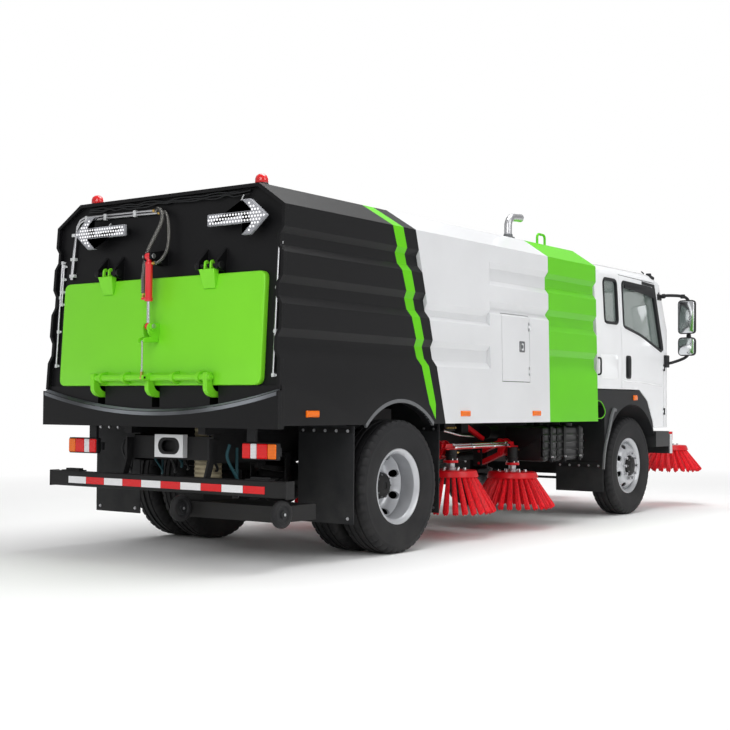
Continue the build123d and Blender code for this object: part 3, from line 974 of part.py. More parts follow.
LINK_OUT_Y = 700.0
LINK_RISE = 100.0
LINK_W = 40.0
MOTOR_R = 65.0
BEAM_Y = (752.0, 812.0)
BEAM_Z = (745.0, 800.0)
LOW_OUT_Z = LINK_LOW_Z + LINK_RISE
UP_OUT_Z = LINK_UP_Z + LINK_RISE


def link(x, z):
    """One link of a middle brush, with its pins; z is its inner pin's height."""
    inner_end, outer_end = (LINK_IN_Y, z), (LINK_OUT_Y, z + LINK_RISE)
    length = hypot(LINK_OUT_Y - LINK_IN_Y, LINK_RISE)
    lean = degrees(atan2(LINK_RISE, LINK_OUT_Y - LINK_IN_Y))
    half = EAR_IN - 4
    body = Pos(x, LINK_IN_Y, z) * Rot(lean, 0, 0) * Pos(0, length / 2, 0) * Box(2 * half, length, LINK_W)
    ends = [bar((x - half, y, h), (x + half, y, h), LINK_W / 2) for y, h in (inner_end, outer_end)]
    reach = EAR_IN + EAR_T + 6
    pins = [bar((x - reach, y, h), (x + reach, y, h), LINK_PIN_R) for y, h in (inner_end, outer_end)]
    return joined([body] + ends + pins)


def brush_frame():
    """The beam that carries both middle brushes of the left side, with its ears and motors."""
    xs = [row[1] for row in MIDDLE_BRUSHES]
    shapes = [box((xs[0] - 90, xs[1] + 90), BEAM_Y, BEAM_Z)]
    for _, x, y, _, top in MIDDLE_BRUSHES:
        shapes.append(bar((x, y, top + STUB_H + GAP), (x, y, BEAM_Z[0] + 5), MOTOR_R))
        for s in (-1, 1):
            near, far = sorted((x + s * EAR_IN, x + s * (EAR_IN + EAR_T)))
            shapes.append(box((near, far), (LINK_OUT_Y - 28, BEAM_Y[0] + 5), (LOW_OUT_Z - 28, UP_OUT_Z + 28)))
    bores = [bar((x - 80, LINK_OUT_Y, z), (x + 80, LINK_OUT_Y, z), LINK_PIN_R + 0.05) for x in xs for z in (LOW_OUT_Z, UP_OUT_Z)]
    return joined(shapes) - bores


low_links = group([link(x, LINK_LOW_Z) for x in brush_xs])
up_links = group([link(x, LINK_UP_Z) for x in brush_xs])
carrier = brush_frame()
for name, side in (("left", 1), ("right", -1)):
    for node, shape in (("lower_links", low_links), ("upper_links", up_links), ("brush_frame", carrier)):
        pieces[f"{node}_{name}"] = shape if side > 0 else mirror(shape, about=Plane.XZ)
    for place, x, y, low, top in MIDDLE_BRUSHES:
        pieces[f"brush_{place}_{name}"] = Pos(x, side * y, 0) * rotor(low, top)

NOSE_X, NOSE_Y, NOSE_LOW, NOSE_TOP = NOSE_BRUSH
RISER = 700.0 - 350.0
slope = (NOSE_Y - NOSE_PIVOT[1]) / (NOSE_X - NOSE_PIVOT[0])
riser_x = NOSE_PIVOT[0] + RISER
riser_y = NOSE_PIVOT[1] + RISER * slope
NOSE_TOP_Z = (NOSE_TOP + STUB_H + 20, NOSE_TOP + STUB_H + 55)


def plan_bar(start, end, width, z):
    """A flat bar between two (x, y) points, made solid between two z values."""
    (x0, y0), (x1, y1) = start, end
    length = hypot(x1 - x0, y1 - y0)
    dx, dy = -(y1 - y0) / length * width / 2, (x1 - x0) / length * width / 2
    return flat_plate(((x0 + dx, y0 + dy), (x1 + dx, y1 + dy), (x1 - dx, y1 - dy), (x0 - dx, y0 - dy)), z)


nose_arm = joined([
    disc((*NOSE_PIVOT, sum(NOSE_ARM_Z) / 2), 40, (NOSE_ARM_Z[1] - NOSE_ARM_Z[0]) / 2, "z"),
    disc((*NOSE_PIVOT, sum(NOSE_ARM_Z) / 2), NOSE_PIN_R, 50, "z"),
    plan_bar(NOSE_PIVOT, (riser_x, riser_y), 60, NOSE_ARM_Z),
    disc((riser_x, riser_y, (NOSE_ARM_Z[0] + NOSE_TOP_Z[1]) / 2), 32, (NOSE_TOP_Z[1] - NOSE_ARM_Z[0]) / 2, "z"),
    plan_bar((riser_x, riser_y), (NOSE_X, NOSE_Y), 60, NOSE_TOP_Z),
    bar((NOSE_X, NOSE_Y, NOSE_TOP + STUB_H + GAP), (NOSE_X, NOSE_Y, NOSE_TOP_Z[1] + 40), MOTOR_R),
])
nose_rotor = Pos(NOSE_X, NOSE_Y, 0) * rotor(NOSE_LOW, NOSE_TOP)
for name, side in (("left", 1), ("right", -1)):
    pieces[f"nose_arm_{name}"] = nose_arm if side > 0 else mirror(nose_arm, about=Plane.XZ)
    pieces[f"brush_nose_{name}"] = nose_rotor if side > 0 else mirror(nose_rotor, about=Plane.XZ)

# ---- Writing ------------------------------------------------------------------------------------

boxes = [piece.bounding_box() for piece in pieces.values()]
SHIFT_X = (min(b.min.X for b in boxes) + max(b.max.X for b in boxes)) / 2
print("shift", SHIFT_X)
for name, piece in pieces.items():
    export_step(Pos(-SHIFT_X, 0, 0) * piece, f"parts/{name}.step")
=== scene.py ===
"""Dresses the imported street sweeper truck: paint, tyres, brushes, lamps, hoses, camera and light."""
import json
import random
from math import atan2, cos, pi, radians, sin

import bpy
import bmesh
from mathutils import Matrix, Vector


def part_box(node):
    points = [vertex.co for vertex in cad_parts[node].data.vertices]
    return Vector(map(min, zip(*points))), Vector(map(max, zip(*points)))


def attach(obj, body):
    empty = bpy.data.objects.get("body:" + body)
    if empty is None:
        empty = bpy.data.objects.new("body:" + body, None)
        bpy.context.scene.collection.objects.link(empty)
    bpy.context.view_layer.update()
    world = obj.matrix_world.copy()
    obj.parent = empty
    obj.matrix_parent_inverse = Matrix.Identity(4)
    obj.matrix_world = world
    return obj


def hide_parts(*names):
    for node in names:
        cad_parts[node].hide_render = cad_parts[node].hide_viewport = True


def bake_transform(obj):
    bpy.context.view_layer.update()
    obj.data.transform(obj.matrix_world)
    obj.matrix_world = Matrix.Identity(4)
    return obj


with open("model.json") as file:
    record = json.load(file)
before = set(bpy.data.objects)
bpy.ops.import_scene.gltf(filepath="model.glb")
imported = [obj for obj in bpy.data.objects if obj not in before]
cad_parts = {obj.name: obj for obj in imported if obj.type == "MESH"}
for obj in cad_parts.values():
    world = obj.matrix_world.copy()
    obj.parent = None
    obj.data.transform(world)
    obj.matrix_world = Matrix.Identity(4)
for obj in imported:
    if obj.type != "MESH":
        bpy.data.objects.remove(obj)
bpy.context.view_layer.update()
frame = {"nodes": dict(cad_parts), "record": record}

MM = 0.001
scene = bpy.context.scene
REAR_AXLE_X = sum(corner.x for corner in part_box("tyres_rear_left")) / 2


def at(x, y, z):
    """A point given in millimetres from the rear axle and the ground, in the frame's metres."""
    return Vector((x * MM + REAR_AXLE_X, y * MM, z * MM))


# ---- Camera --------------------------------------------------------------------------------------

FOCAL_PX, FRAME_PX = 1284.3, 730
CENTRE_PX = (365.7, 364.0)
CAMERA_SPOT = (-8100, -6760, 1130)
SENSOR_MM = 36
YAW, PITCH, ROLL = radians(36.11), radians(1.83), radians(0.36)

forward = Vector((cos(YAW) * cos(PITCH), sin(YAW) * cos(PITCH), sin(PITCH)))
level = Vector((sin(YAW), -cos(YAW), 0))
above = level.cross(forward)
right = level * cos(ROLL) + above * sin(ROLL)
up = above * cos(ROLL) - level * sin(ROLL)
camera = bpy.data.objects.new("camera", bpy.data.cameras.new("camera"))
scene.collection.objects.link(camera)
camera.matrix_world = Matrix.Translation(at(*CAMERA_SPOT)) @ Matrix((right, up, -forward)).transposed().to_4x4()
camera.data.sensor_width = SENSOR_MM
camera.data.lens = SENSOR_MM * FOCAL_PX / FRAME_PX
camera.data.shift_x = (FRAME_PX / 2 - CENTRE_PX[0]) / FRAME_PX
camera.data.shift_y = (CENTRE_PX[1] - FRAME_PX / 2) / FRAME_PX
camera.data.clip_end = 500
scene.camera = camera

# ---- Shader expressions --------------------------------------------------------------------------


class Value:
    """A shader socket; arithmetic on it adds Math nodes."""

    def __init__(self, finish, socket):
        self.finish, self.socket = finish, socket

    def maths(self, operation, *others):
        return self.finish.node("Math", {"operation": operation}, *others)

    def __add__(self, other): return self.maths("ADD", self, other)
    def __radd__(self, other): return self.maths("ADD", other, self)
    def __sub__(self, other): return self.maths("SUBTRACT", self, other)
    def __rsub__(self, other): return self.maths("SUBTRACT", other, self)
    def __mul__(self, other): return self.maths("MULTIPLY", self, other)
    def __rmul__(self, other): return self.maths("MULTIPLY", other, self)
    def __truediv__(self, other): return self.maths("DIVIDE", self, other)
    def __rtruediv__(self, other): return self.maths("DIVIDE", other, self)
    def __pow__(self, other): return self.maths("POWER", self, other)
    def __gt__(self, other): return self.maths("GREATER_THAN", self, other)
    def __lt__(self, other): return self.maths("LESS_THAN", self, other)
    def __abs__(self): return self.maths("ABSOLUTE", self)
    def clamp(self): return self.finish.node("Clamp", {}, self)
    def sine(self): return self.maths("SINE", self)


class Finish:
    """A procedural material under construction."""

    def __init__(self, name):
        self.material = bpy.data.materials.new(name)
        self.material.use_nodes = True
        self.tree = self.material.node_tree
        self.shader = self.tree.nodes["Principled BSDF"]
        place = self.tree.nodes.new("ShaderNodeTexCoord")
        self.place = Value(self, place.outputs["Object"])
        axes = self.tree.nodes.new("ShaderNodeSeparateXYZ")
        self.tree.links.new(place.outputs["Object"], axes.inputs[0])
        self.x, self.y, self.z = (Value(self, axes.outputs[i]) for i in range(3))

    def feed(self, socket, value):
        if isinstance(value, Value):
            self.tree.links.new(value.socket, socket)
        elif hasattr(socket.default_value, "__len__") and not hasattr(value, "__len__"):
            socket.default_value = [value] * 3
        elif hasattr(value, "__len__") and len(value) == 3 and len(socket.default_value) == 4:
            socket.default_value = (*value, 1)
        else:
            socket.default_value = value

    def node(self, kind, settings, *values, **named):
        """Adds a node; values fill its first inputs in turn, and named ones theirs."""
        node = self.tree.nodes.new("ShaderNode" + kind)
        for key, setting in settings.items():
            setattr(node, key, setting)
        for socket, value in zip(node.inputs, values):
            self.feed(socket, value)
        for name, value in named.items():
            self.feed(node.inputs[name.replace("_", " ")], value)
        return Value(self, node.outputs[0])

    def noise(self, scale, detail, stretch=(1, 1, 1)):
        place = self.node("Mapping", {}, Vector=self.place, Scale=stretch)
        return self.node("TexNoise", {}, Vector=place, Scale=scale, Detail=detail)

    def blend(self, low, high, factor):
        """Two colours mixed by a factor."""
        node = self.tree.nodes.new("ShaderNodeMix")
        node.data_type = "RGBA"
        for socket, value in ((node.inputs[0], factor), (node.inputs[6], low), (node.inputs[7], high)):
            self.feed(socket, value)
        return Value(self, node.outputs[2])

    def bump(self, height, depth, normal=None):
        named = {"Height": height, "Distance": depth}
        if normal is not None:
            named["Normal"] = normal
        return self.node("Bump", {}, **named)

    def soften(self, radius):
        """A normal that rounds edges by a radius."""
        return self.node("Bevel", {"samples": 3}, Radius=radius)

    def done(self, **named):
        for name, value in named.items():
            self.feed(self.shader.inputs[name.replace("_", " ")], value)
        return self.material


def srgb(red, green, blue):
    """A colour written as the screen shows it, 0 to 255, for a shader."""
    return tuple((c / 255 / 12.92) if c <= 10 else ((c / 255 + 0.055) / 1.055) ** 2.4
        for c in (red, green, blue))


ROAD_DUST = srgb(120, 116, 108)


def paint(name, colour, rough, coat, edge=4, stripe=None, dust=0.25, metal=0.0, shine=0.4):
    """Sprayed paint: a faint drift of shade, orange peel, and dust that gathers low down."""
    f = Finish(name)
    drift = f.noise(1.7, 4)
    speck = f.noise(55, 2)
    shade = f.blend([c * 0.9 for c in colour], [min(1, c * 1.06) for c in colour], drift)
    if stripe:
        shade = f.blend(shade, stripe[1], stripe[0](f))
    low = ((1.15 - f.z) / 1.1).clamp()
    grime = (low * low * (drift * 1.3 + speck * 0.5 - 0.35)).clamp() * dust
    shade = f.blend(shade, ROAD_DUST, grime)
    bump = f.bump(f.noise(260, 1), 0.00012, f.soften(edge * MM) if edge else None)
    return f.done(Base_Color=shade, Roughness=(rough + drift * 0.08 + grime * 0.6).clamp(), Normal=bump,
        Coat_Weight=coat, Coat_Roughness=0.12, Metallic=metal, Specular_IOR_Level=shine)


def rubber(name, colour, rough, grain, depth, dust):
    """Black rubber or moulded plastic with a fine grain and some dust."""
    f = Finish(name)
    fine, broad = f.noise(grain, 4), f.noise(6, 3)
    shade = f.blend([c * 0.75 for c in colour], [c * 1.3 for c in colour], broad)
    grime = (((0.9 - f.z) / 0.9).clamp() * (broad * 1.5 - 0.45)).clamp() * dust
    shade = f.blend(shade, ROAD_DUST, grime)
    return f.done(Base_Color=shade, Roughness=(rough + fine * 0.12).clamp(), Normal=f.bump(fine, depth),
        Specular_IOR_Level=0.3)


def metal(name, colour, rough=0.28, scratch=200):
    """Bare metal with a fine grain."""
    f = Finish(name)
    lines, broad = f.noise(scratch, 2), f.noise(9, 3)
    shade = f.blend([c * 0.8 for c in colour], colour, broad)
    return f.done(Base_Color=shade, Metallic=1.0, Roughness=(rough + lines * 0.12 + broad * 0.06).clamp(),
        Normal=f.bump(lines, 0.00004))


def lens(name, colour, glow, ribs=260):
    """A moulded lamp lens with fine ribs behind its face, glowing in its own colour; on the reflective tapes
    that glow is painted light.
    """
    f = Finish(name)
    wave = ((f.y * ribs * 2.4).sine() * 0.5 + 0.5) * ((f.z * ribs * 2.4).sine() * 0.5 + 0.5)
    shade = f.blend([c * 0.72 for c in colour], [min(1, c * 1.15) for c in colour], wave)
    return f.done(Base_Color=shade, Roughness=0.12 + wave * 0.08, Normal=f.bump(wave, 0.0008), Coat_Weight=0.25,
        Coat_Roughness=0.05, Specular_IOR_Level=0.3, Emission_Color=colour, Emission_Strength=glow)


# The door's lime is the body's lime made lighter: painted light for the brighter rear face.
LIME, LIME_DOOR_PAINTED_LIGHT, BLACK, WHITE = srgb(96, 196, 8), srgb(124, 218, 40), srgb(15, 15, 17), srgb(216, 217, 219)
SILVER = srgb(196, 198, 202)
STRIPE_TOP, STRIPE_LOW = (2.497, -0.060, 0.079), (1.120, 0.400, 0.490)   # height, rear edge, front edge


def slanted(f):
    """Mask of the stripe across the hopper's sides."""
    rise, rear, front = STRIPE_TOP
    drop, low_rear, low_front = STRIPE_LOW
    along = (f.z - drop) * (1 / (rise - drop))
    centre = along * (rear - low_rear) + (low_rear + low_front) / 2 + REAR_AXLE_X
    half = along * ((front - rear - low_front + low_rear) / 2) + (low_front - low_rear) / 2
    tail = ((f.z - 1.02) / 0.12).clamp()
    return abs(f.x - centre) < half * tail


BUMPER_CORNER_X = 5.47      # metres before the rear axle


def bumper_face(f):
    """Mask of the bumper's pale front."""
    return f.x > REAR_AXLE_X + BUMPER_CORNER_X


M = {
    "black": paint("black_paint", BLACK, 0.42, 0.0, shine=0.22, dust=0.1, stripe=(slanted, LIME)),
    "frame": paint("frame_paint", srgb(18, 18, 20), 0.5, 0.0, 3, dust=0.12, shine=0.3),
    "white": paint("white_paint", WHITE, 0.28, 0.3, dust=0.08),
    "cab": paint("cab_paint", srgb(244, 245, 247), 0.16, 0.9, 6),
    "bumper": paint("bumper_paint", srgb(34, 35, 37), 0.5, 0.2, stripe=(bumper_face, WHITE)),
    "tank": paint("tank_paint", srgb(14, 14, 16), 0.36, 0.2, 3, dust=0.08, shine=0.3),
    "mirror": metal("mirror_face", (0.82, 0.84, 0.86), 0.02, scratch=20),
    "lime": paint("lime_paint", LIME, 0.38, 0.12, dust=0.1, shine=0.3),
    # Lighter lime on the rear door and its fittings is painted light.
    "door": paint("door_paint", LIME_DOOR_PAINTED_LIGHT, 0.38, 0.15, dust=0.1, shine=0.3),
    "red": paint("red_paint", srgb(214, 12, 26), 0.36, 0.15, 3, dust=0.05, shine=0.3),
    "cylinder": paint("cylinder_paint", srgb(220, 22, 36), 0.3, 0.6, 2),
    "grey": paint("grey_paint", srgb(96, 98, 100), 0.5, 0.2, 3, dust=0.5),
    "pale": paint("pale_paint", srgb(205, 207, 208), 0.4, 0.3, 2),
    "silver": paint("silver_paint", SILVER, 0.3, 0.4, 3, dust=0.3, metal=0.55),
    "plastic": rubber("black_plastic", srgb(28, 29, 31), 0.45, 420, 0.0002, 0.08),
    "trim": rubber("black_trim", srgb(26, 27, 29), 0.42, 300, 0.0001, 0.1),
    "flap": rubber("flap_rubber", srgb(34, 35, 37), 0.6, 90, 0.0012, 0.2),
    "tyre": rubber("tyre_rubber", srgb(27, 27, 29), 0.6, 160, 0.0005, 0.12),
    "steel": metal("bright_steel", (0.62, 0.62, 0.64)),
    "chrome": metal("chrome_rod", (0.86, 0.87, 0.88), 0.08),
    "brass": metal("brass_fitting", (0.72, 0.5, 0.16), 0.25),
    "red_lens": lens("red_lens", srgb(220, 0, 4), 0.1),
    "amber_lens": lens("amber_lens", srgb(240, 112, 0), 0.1),
    "clear_lens": lens("clear_lens", srgb(235, 235, 238), 0.05),
    # The tapes are no lamps: their glow is painted light standing in for the shine of reflective tape.
    "tape_red": lens("red_tape", srgb(222, 2, 14), 0.1, 420),
    "tape_white": lens("white_tape", srgb(238, 238, 240), 0.1, 420),
    "teal": rubber("teal_hose", srgb(34, 74, 82), 0.5, 300, 0.0001, 0.0),
    "dome": paint("dome_plastic", srgb(226, 8, 16), 0.14, 0.6, 0, dust=0, shine=0.5),
    "dots": lens("led_dots", srgb(250, 250, 252), 0.5),
    "board": rubber("board_plastic", srgb(150, 151, 156), 0.5, 300, 0.0001, 0.0),
    "fabric": rubber("seat_fabric", srgb(70, 72, 76), 0.9, 900, 0.0006, 0.0),
    "dash": rubber("dash_plastic", srgb(66, 67, 70), 0.6, 500, 0.0002, 0.0),
}


def glass_finish():
    """Tinted window glass whose pale, cloudy colour is a painted reflection of a pale sky."""
    f = Finish("window_glass")
    broad = f.noise(1.2, 2)
    # The pale colour is a painted reflection of the sky, over the glass's green tint.
    shade = f.blend(srgb(120, 138, 132), srgb(150, 166, 160), broad)
    return f.done(Base_Color=shade, Roughness=0.03 + broad * 0.02, Alpha=0.38, Coat_Weight=1.0,
        Coat_Roughness=0.01)


def bristle_finish():
    """Red plastic bristles, streaked along their length."""
    f = Finish("bristle_plastic")
    streak = f.noise(90, 3, (1, 1, 0.12))
    shade = f.blend(srgb(170, 4, 16), srgb(250, 24, 40), (streak * 1.7 - 0.25).clamp())
    return f.done(Base_Color=shade, Roughness=0.34 + streak * 0.2, Normal=f.bump(streak, 0.0006),
        Specular_IOR_Level=0.35)


def ribbed_finish():
    """A beige ribbed suction hose, darker between its ribs: painted shade in the grooves."""
    f = Finish("hose_plastic")
    rib = (f.z * 190).sine() * 0.5 + 0.5
    grime = f.noise(14, 4)
    # Darker colour in the grooves between the ribs is painted shade.
    shade = f.blend(srgb(112, 102, 80), srgb(196, 184, 152), (rib * 0.6 + grime * 0.6 - 0.15).clamp())
    return f.done(Base_Color=shade, Roughness=0.55 + grime * 0.1, Normal=f.bump(rib, 0.004))


def braid_finish():
    """A black hose in a fine wire braid."""
    f = Finish("hose_braid")
    one_way = (f.z * 520 + f.x * 300).sine() * 0.5 + 0.5
    turn = one_way * ((f.z * 520 - f.x * 300 + f.y * 260).sine() * 0.5 + 0.5)
    shade = f.blend(srgb(20, 20, 22), srgb(196, 194, 186), (turn * 2.6 - 0.8).clamp())
    return f.done(Base_Color=shade, Roughness=0.45, Metallic=turn * 0.5, Normal=f.bump(turn, 0.0008))


def ledge_reflection_finish():
    """Grey paint with soft lighter and darker patches along its length: painted reflection."""
    f = Finish("ledge_paint")
    # The lighter and darker bands across the ledge are painted reflection.
    painted_reflection = ((f.y * 5.5).sine() * 0.5 + f.noise(3, 2)).clamp()
    shade = f.blend(srgb(52, 54, 58), srgb(128, 132, 138), painted_reflection)
    return f.done(Base_Color=shade, Roughness=0.35 + painted_reflection * 0.15)


M.update(ledge=ledge_reflection_finish(), glass=glass_finish(), bristle=bristle_finish(), ribbed=ribbed_finish(),
    braid=braid_finish())
# The record's material slot that a finish belongs to, unless a piece says otherwise.
USUAL_SLOT = {finish: slot for slot, finishes in {
    "lamp_plastic": "amber_lens red_lens clear_lens dome dots", "black_plastic": "plastic board",
    "rubber": "trim braid flap lime", "steel": "steel chrome brass pale", "tyre_rubber": "tyre",
    "red_bristle": "bristle", "red_paint": "red", "green_paint": "door", "black_paint": "frame tank ledge grey",
    "silver_paint": "silver", "white_paint": "white cab", "seat_fabric": "fabric dash",
    "window_glass": "mirror", "hose_plastic": "ribbed"}.items() for finish in finishes.split()}

# ---- Meshes --------------------------------------------------------------------------------------


class Form:
    """A mesh in the making, in millimetres from the rear axle."""

    def __init__(self):
        self.bm = bmesh.new()

    def skin(self, rings, caps=True):
        """Quads between rings of points; the first and last ring may be capped."""
        rows = [[self.bm.verts.new(p) for p in ring] for ring in rings]
        count = len(rows[0])
        for low, high in zip(rows, rows[1:]):
            for i in range(count):
                j = (i + 1) % count
                self.bm.faces.new((low[i], low[j], high[j], high[i]))
        if caps:
            self.bm.faces.new(list(reversed(rows[0])))
            self.bm.faces.new(rows[-1])
        return self

    def block(self, x, y, z):
        x, y, z = sorted(x), sorted(y), sorted(z)
        return self.skin([[(x[0], y[0], h), (x[1], y[0], h), (x[1], y[1], h), (x[0], y[1], h)] for h in z])

    def slab(self, points, axis, span):
        """An outline of two coordinates made solid along the third axis."""
        points = list(points)
        area = sum(a[0] * b[1] - b[0] * a[1] for a, b in zip(points, points[1:] + points[:1]))
        if (area < 0) != (axis == "y"):
            points.reverse()
        spot = "xyz".index(axis)
        return self.skin([[(*p[:spot], s, *p[spot:]) for p in points] for s in sorted(span)])

    def plate(self, outline, y, half):
        """An (x, z) outline made a plate about a y value."""
        return self.slab(outline, "y", (y - half, y + half))

    def stack(self, outline, put, layers):
        """A closed shape of rings, each the outline put at a depth and moved inward."""
        return self.skin([[put(p, depth) for p in inset(outline, by)] for depth, by in layers])

    def band(self, outline, put, layers):
        """A closed band that follows an outline; its layers are (out, inward) corners of the section."""
        loops = [[put(p, out) for p in inset(outline, by)] for out, by in layers]
        return self.skin(loops + loops[:1], caps=False)

    def rod(self, start, end, radius, far=None, sides=18):
        """A round bar, or a cone, between two points."""
        return self.tube([start, end], radius, sides, radii=(radius, radius if far is None else far))

    def bar(self, spot, radius, far=None, sides=18):
        """A rod along the axis whose coordinate in the spot is a (start, end) pair."""
        ends = [[value[i] if isinstance(value, tuple) else value for value in spot] for i in (0, 1)]
        return self.rod(*ends, radius, far, sides)

    def tube(self, points, radius, sides, radii=None):
        """A round tube through points."""
        points = [Vector(p) for p in points]
        radii = radii or [radius] * len(points)
        ahead = (points[1] - points[0]).normalized()
        side = ahead.orthogonal().normalized()
        rings = []
        for i, point in enumerate(points):
            near = points[max(i - 1, 0)]
            far = points[min(i + 1, len(points) - 1)]
            ahead = (far - near).normalized()
            side = (side - ahead * side.dot(ahead)).normalized()
            across = ahead.cross(side)
            rings.append([point + (side * cos(a) + across * sin(a)) * radii[i] for a in turns(sides)])
        return self.skin(rings)

    def turn(self, profile, centre, axis, sides, wave=None):
        """A closed profile of (radius, along) points turned about an axis; wave shifts the radii."""
        rings = []
        for step, a in enumerate(turns(sides)):
            ring = []
            for i, (radius, along) in enumerate(profile):
                shift = wave(i, step) if wave else 0
                ring.append(self.bm.verts.new(turned_point(centre, axis, radius + shift, along, a)))
            rings.append(ring)
        for low, high in zip(rings, rings[1:] + rings[:1]):
            for i in range(len(profile)):
                j = (i + 1) % len(profile)
                self.bm.faces.new((low[i], high[i], high[j], low[j]))
        return self

    def merged(self):
        bmesh.ops.remove_doubles(self.bm, verts=self.bm.verts, dist=0.01)
        bmesh.ops.recalc_face_normals(self.bm, faces=self.bm.faces)
        return self

    def mirrored(self):
        """The same with its mirror image across the vehicle."""
        copy = bmesh.ops.duplicate(self.bm, geom=self.bm.verts[:] + self.bm.edges[:] + self.bm.faces[:])["geom"]
        verts = [g for g in copy if isinstance(g, bmesh.types.BMVert)]
        for vert in verts:
            vert.co.y = -vert.co.y
        bmesh.ops.reverse_faces(self.bm, faces=[g for g in copy if isinstance(g, bmesh.types.BMFace)])
        return self

    def mesh(self, name, place=at):
        """The finished mesh, its points put in the frame by a function."""
        for vert in self.bm.verts:
            vert.co = place(*vert.co)
        mesh = bpy.data.meshes.new(name)
        self.bm.to_mesh(mesh)
        self.bm.free()
        return mesh

    def make(self, name, finish, body="chassis", slot=None, **how):
        """The form as a piece on a body."""
        return piece(name, self.merged().mesh(name), body, slot or USUAL_SLOT[finish], finish, **how)


def turns(count):
    """Angles all the way round."""
    return [2 * pi * i / count for i in range(count)]


def turned_point(centre, axis, radius, along, angle):
    """A point at a radius, an angle and a distance along an axis through the centre."""
    u, v = radius * cos(angle), radius * sin(angle)
    x, y, z = centre
    return {"x": (x + along, y + u, z + v), "y": (x + u, y + along, z + v),
        "z": (x + u, y + v, z + along)}[axis]


def piece(name, mesh, body, slot, finish, stands_for=(), bevel=0.0, sharp=35, steps=2, bend=None):
    """A finished piece that rides on a body, or, when a bend of (body, start, end) is given, stays in place on
    no body.
    """
    if not mesh.materials:
        mesh.materials.append(M[finish])
    obj = bpy.data.objects.new(name, mesh)
    scene.collection.objects.link(obj)
    mesh.shade_smooth()
    mesh.set_sharp_from_angle(angle=radians(sharp))
    if bevel:
        edge = obj.modifiers.new("edges", "BEVEL")
        edge.width, edge.segments, edge.limit_method, edge.angle_limit = bevel * MM, steps, "ANGLE", radians(40)
        edge.harden_normals = True
    if bend:
        tuple(at(*bend[1]))
        tuple(at(*bend[2]))
        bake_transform(obj)
    else:
        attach(obj, body)
    if stands_for:
        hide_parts(*stands_for)
    return obj


def merged_copy(node):
    """A CAD node's faces with their corners joined."""
    work = bmesh.new()
    work.from_mesh(frame["nodes"][node].data)
    bmesh.ops.remove_doubles(work, verts=work.verts, dist=2e-5)
    return work


def dress(name, work, node, slot, finish, stands_for):
    """A smooth-shaded piece from a CAD node's faces, with a finish of its own."""
    mesh = bpy.data.meshes.new(name)
    work.to_mesh(mesh)
    work.free()
    if "custom_normal" in mesh.attributes:
        mesh.attributes.remove(mesh.attributes["custom_normal"])
    piece(name, mesh, BODY[node], slot, finish, stands_for, sharp=30)


def placing_tree():
    """Puts a part on every point, turned and sized by the point's own values."""
    tree = bpy.data.node_groups.new("place_parts", "GeometryNodeTree")
    wanted = (("Points", "INPUT", "Geometry"), ("Part", "INPUT", "Object"), ("Size", "INPUT", "Float"),
        ("Finish", "INPUT", "Material"), ("Result", "OUTPUT", "Geometry"))
    sockets = {name: tree.interface.new_socket(name, in_out=way, socket_type="NodeSocket" + kind)
        for name, way, kind in wanted}
    kinds = ("NodeGroupInput", "NodeGroupOutput", "GeometryNodeObjectInfo", "GeometryNodeInstanceOnPoints",
        "GeometryNodeRealizeInstances", "GeometryNodeSetMaterial", "FunctionNodeEulerToRotation",
        "ShaderNodeVectorMath", "GeometryNodeInputNamedAttribute", "GeometryNodeInputNamedAttribute")
    start, end, part, put, real, finish, angles, whole, turn, size = map(tree.nodes.new, kinds)
    whole.operation = "SCALE"
    for node, attribute in ((turn, "turn"), (size, "size")):
        node.data_type = "FLOAT_VECTOR"
        node.inputs["Name"].default_value = attribute
    links = ((start.outputs["Part"], part.inputs["Object"]), (start.outputs["Points"], put.inputs["Points"]),
        (part.outputs["Geometry"], put.inputs["Instance"]), (turn.outputs["Attribute"], angles.inputs["Euler"]),
        (angles.outputs["Rotation"], put.inputs["Rotation"]), (size.outputs["Attribute"], whole.inputs[0]),
        (start.outputs["Size"], whole.inputs["Scale"]), (whole.outputs[0], put.inputs["Scale"]),
        (put.outputs[0], real.inputs[0]), (real.outputs[0], finish.inputs["Geometry"]),
        (start.outputs["Finish"], finish.inputs["Material"]), (finish.outputs[0], end.inputs[0]))
    for source, target in links:
        tree.links.new(source, target)
    return tree, {name: socket.identifier for name, socket in sockets.items()}


PLACING, PLACING_INPUTS = placing_tree()


def scattered(name, part, places, finish, body="chassis", slot=None, stands_for=()):
    """Copies of a part at (point, direction) or (point, direction, scale) rows, as one piece."""
    source = bpy.data.objects.new(name + "_part", part.mesh(name + "_part", lambda *p: Vector(p) * MM))
    source.data.shade_smooth()
    mesh = bpy.data.meshes.new(name)
    mesh.from_pydata([at(*row[0]) for row in places], [], [])
    turn = mesh.attributes.new("turn", "FLOAT_VECTOR", "POINT")
    scale = mesh.attributes.new("size", "FLOAT_VECTOR", "POINT")
    for i, (_, run, *own_scale) in enumerate(places):
        turn.data[i].vector = Vector(run).to_track_quat("Z", "Y").to_euler()
        scale.data[i].vector = own_scale[0] if own_scale else (1, 1, 1)
    points = bpy.data.objects.new(name + "_points", mesh)
    for obj in (source, points):
        scene.collection.objects.link(obj)
    modifier = points.modifiers.new("place", "NODES")
    modifier.node_group = PLACING
    for key, value in (("Part", source), ("Size", 1.0), ("Finish", M[finish])):
        modifier[PLACING_INPUTS[key]] = value
    result = bpy.data.meshes.new_from_object(points.evaluated_get(bpy.context.evaluated_depsgraph_get()))
    for obj in (source, points):
        bpy.data.objects.remove(obj)
    return piece(name, result, body, slot or USUAL_SLOT[finish], finish, stands_for, sharp=40)


def bolt(radius, height):
    """A hexagonal bolt head on a washer."""
    form = Form().bar((0, 0, (0, height * 0.25)), radius * 1.35, sides=14)
    return form.bar((0, 0, (height * 0.2, height)), radius, sides=6)


def knob(rings, sides):
    """A round solid on the z axis from its (height, radius) rings."""
    return Form().skin([[(r * cos(a), r * sin(a), z) for a in turns(sides)] for z, r in rings])


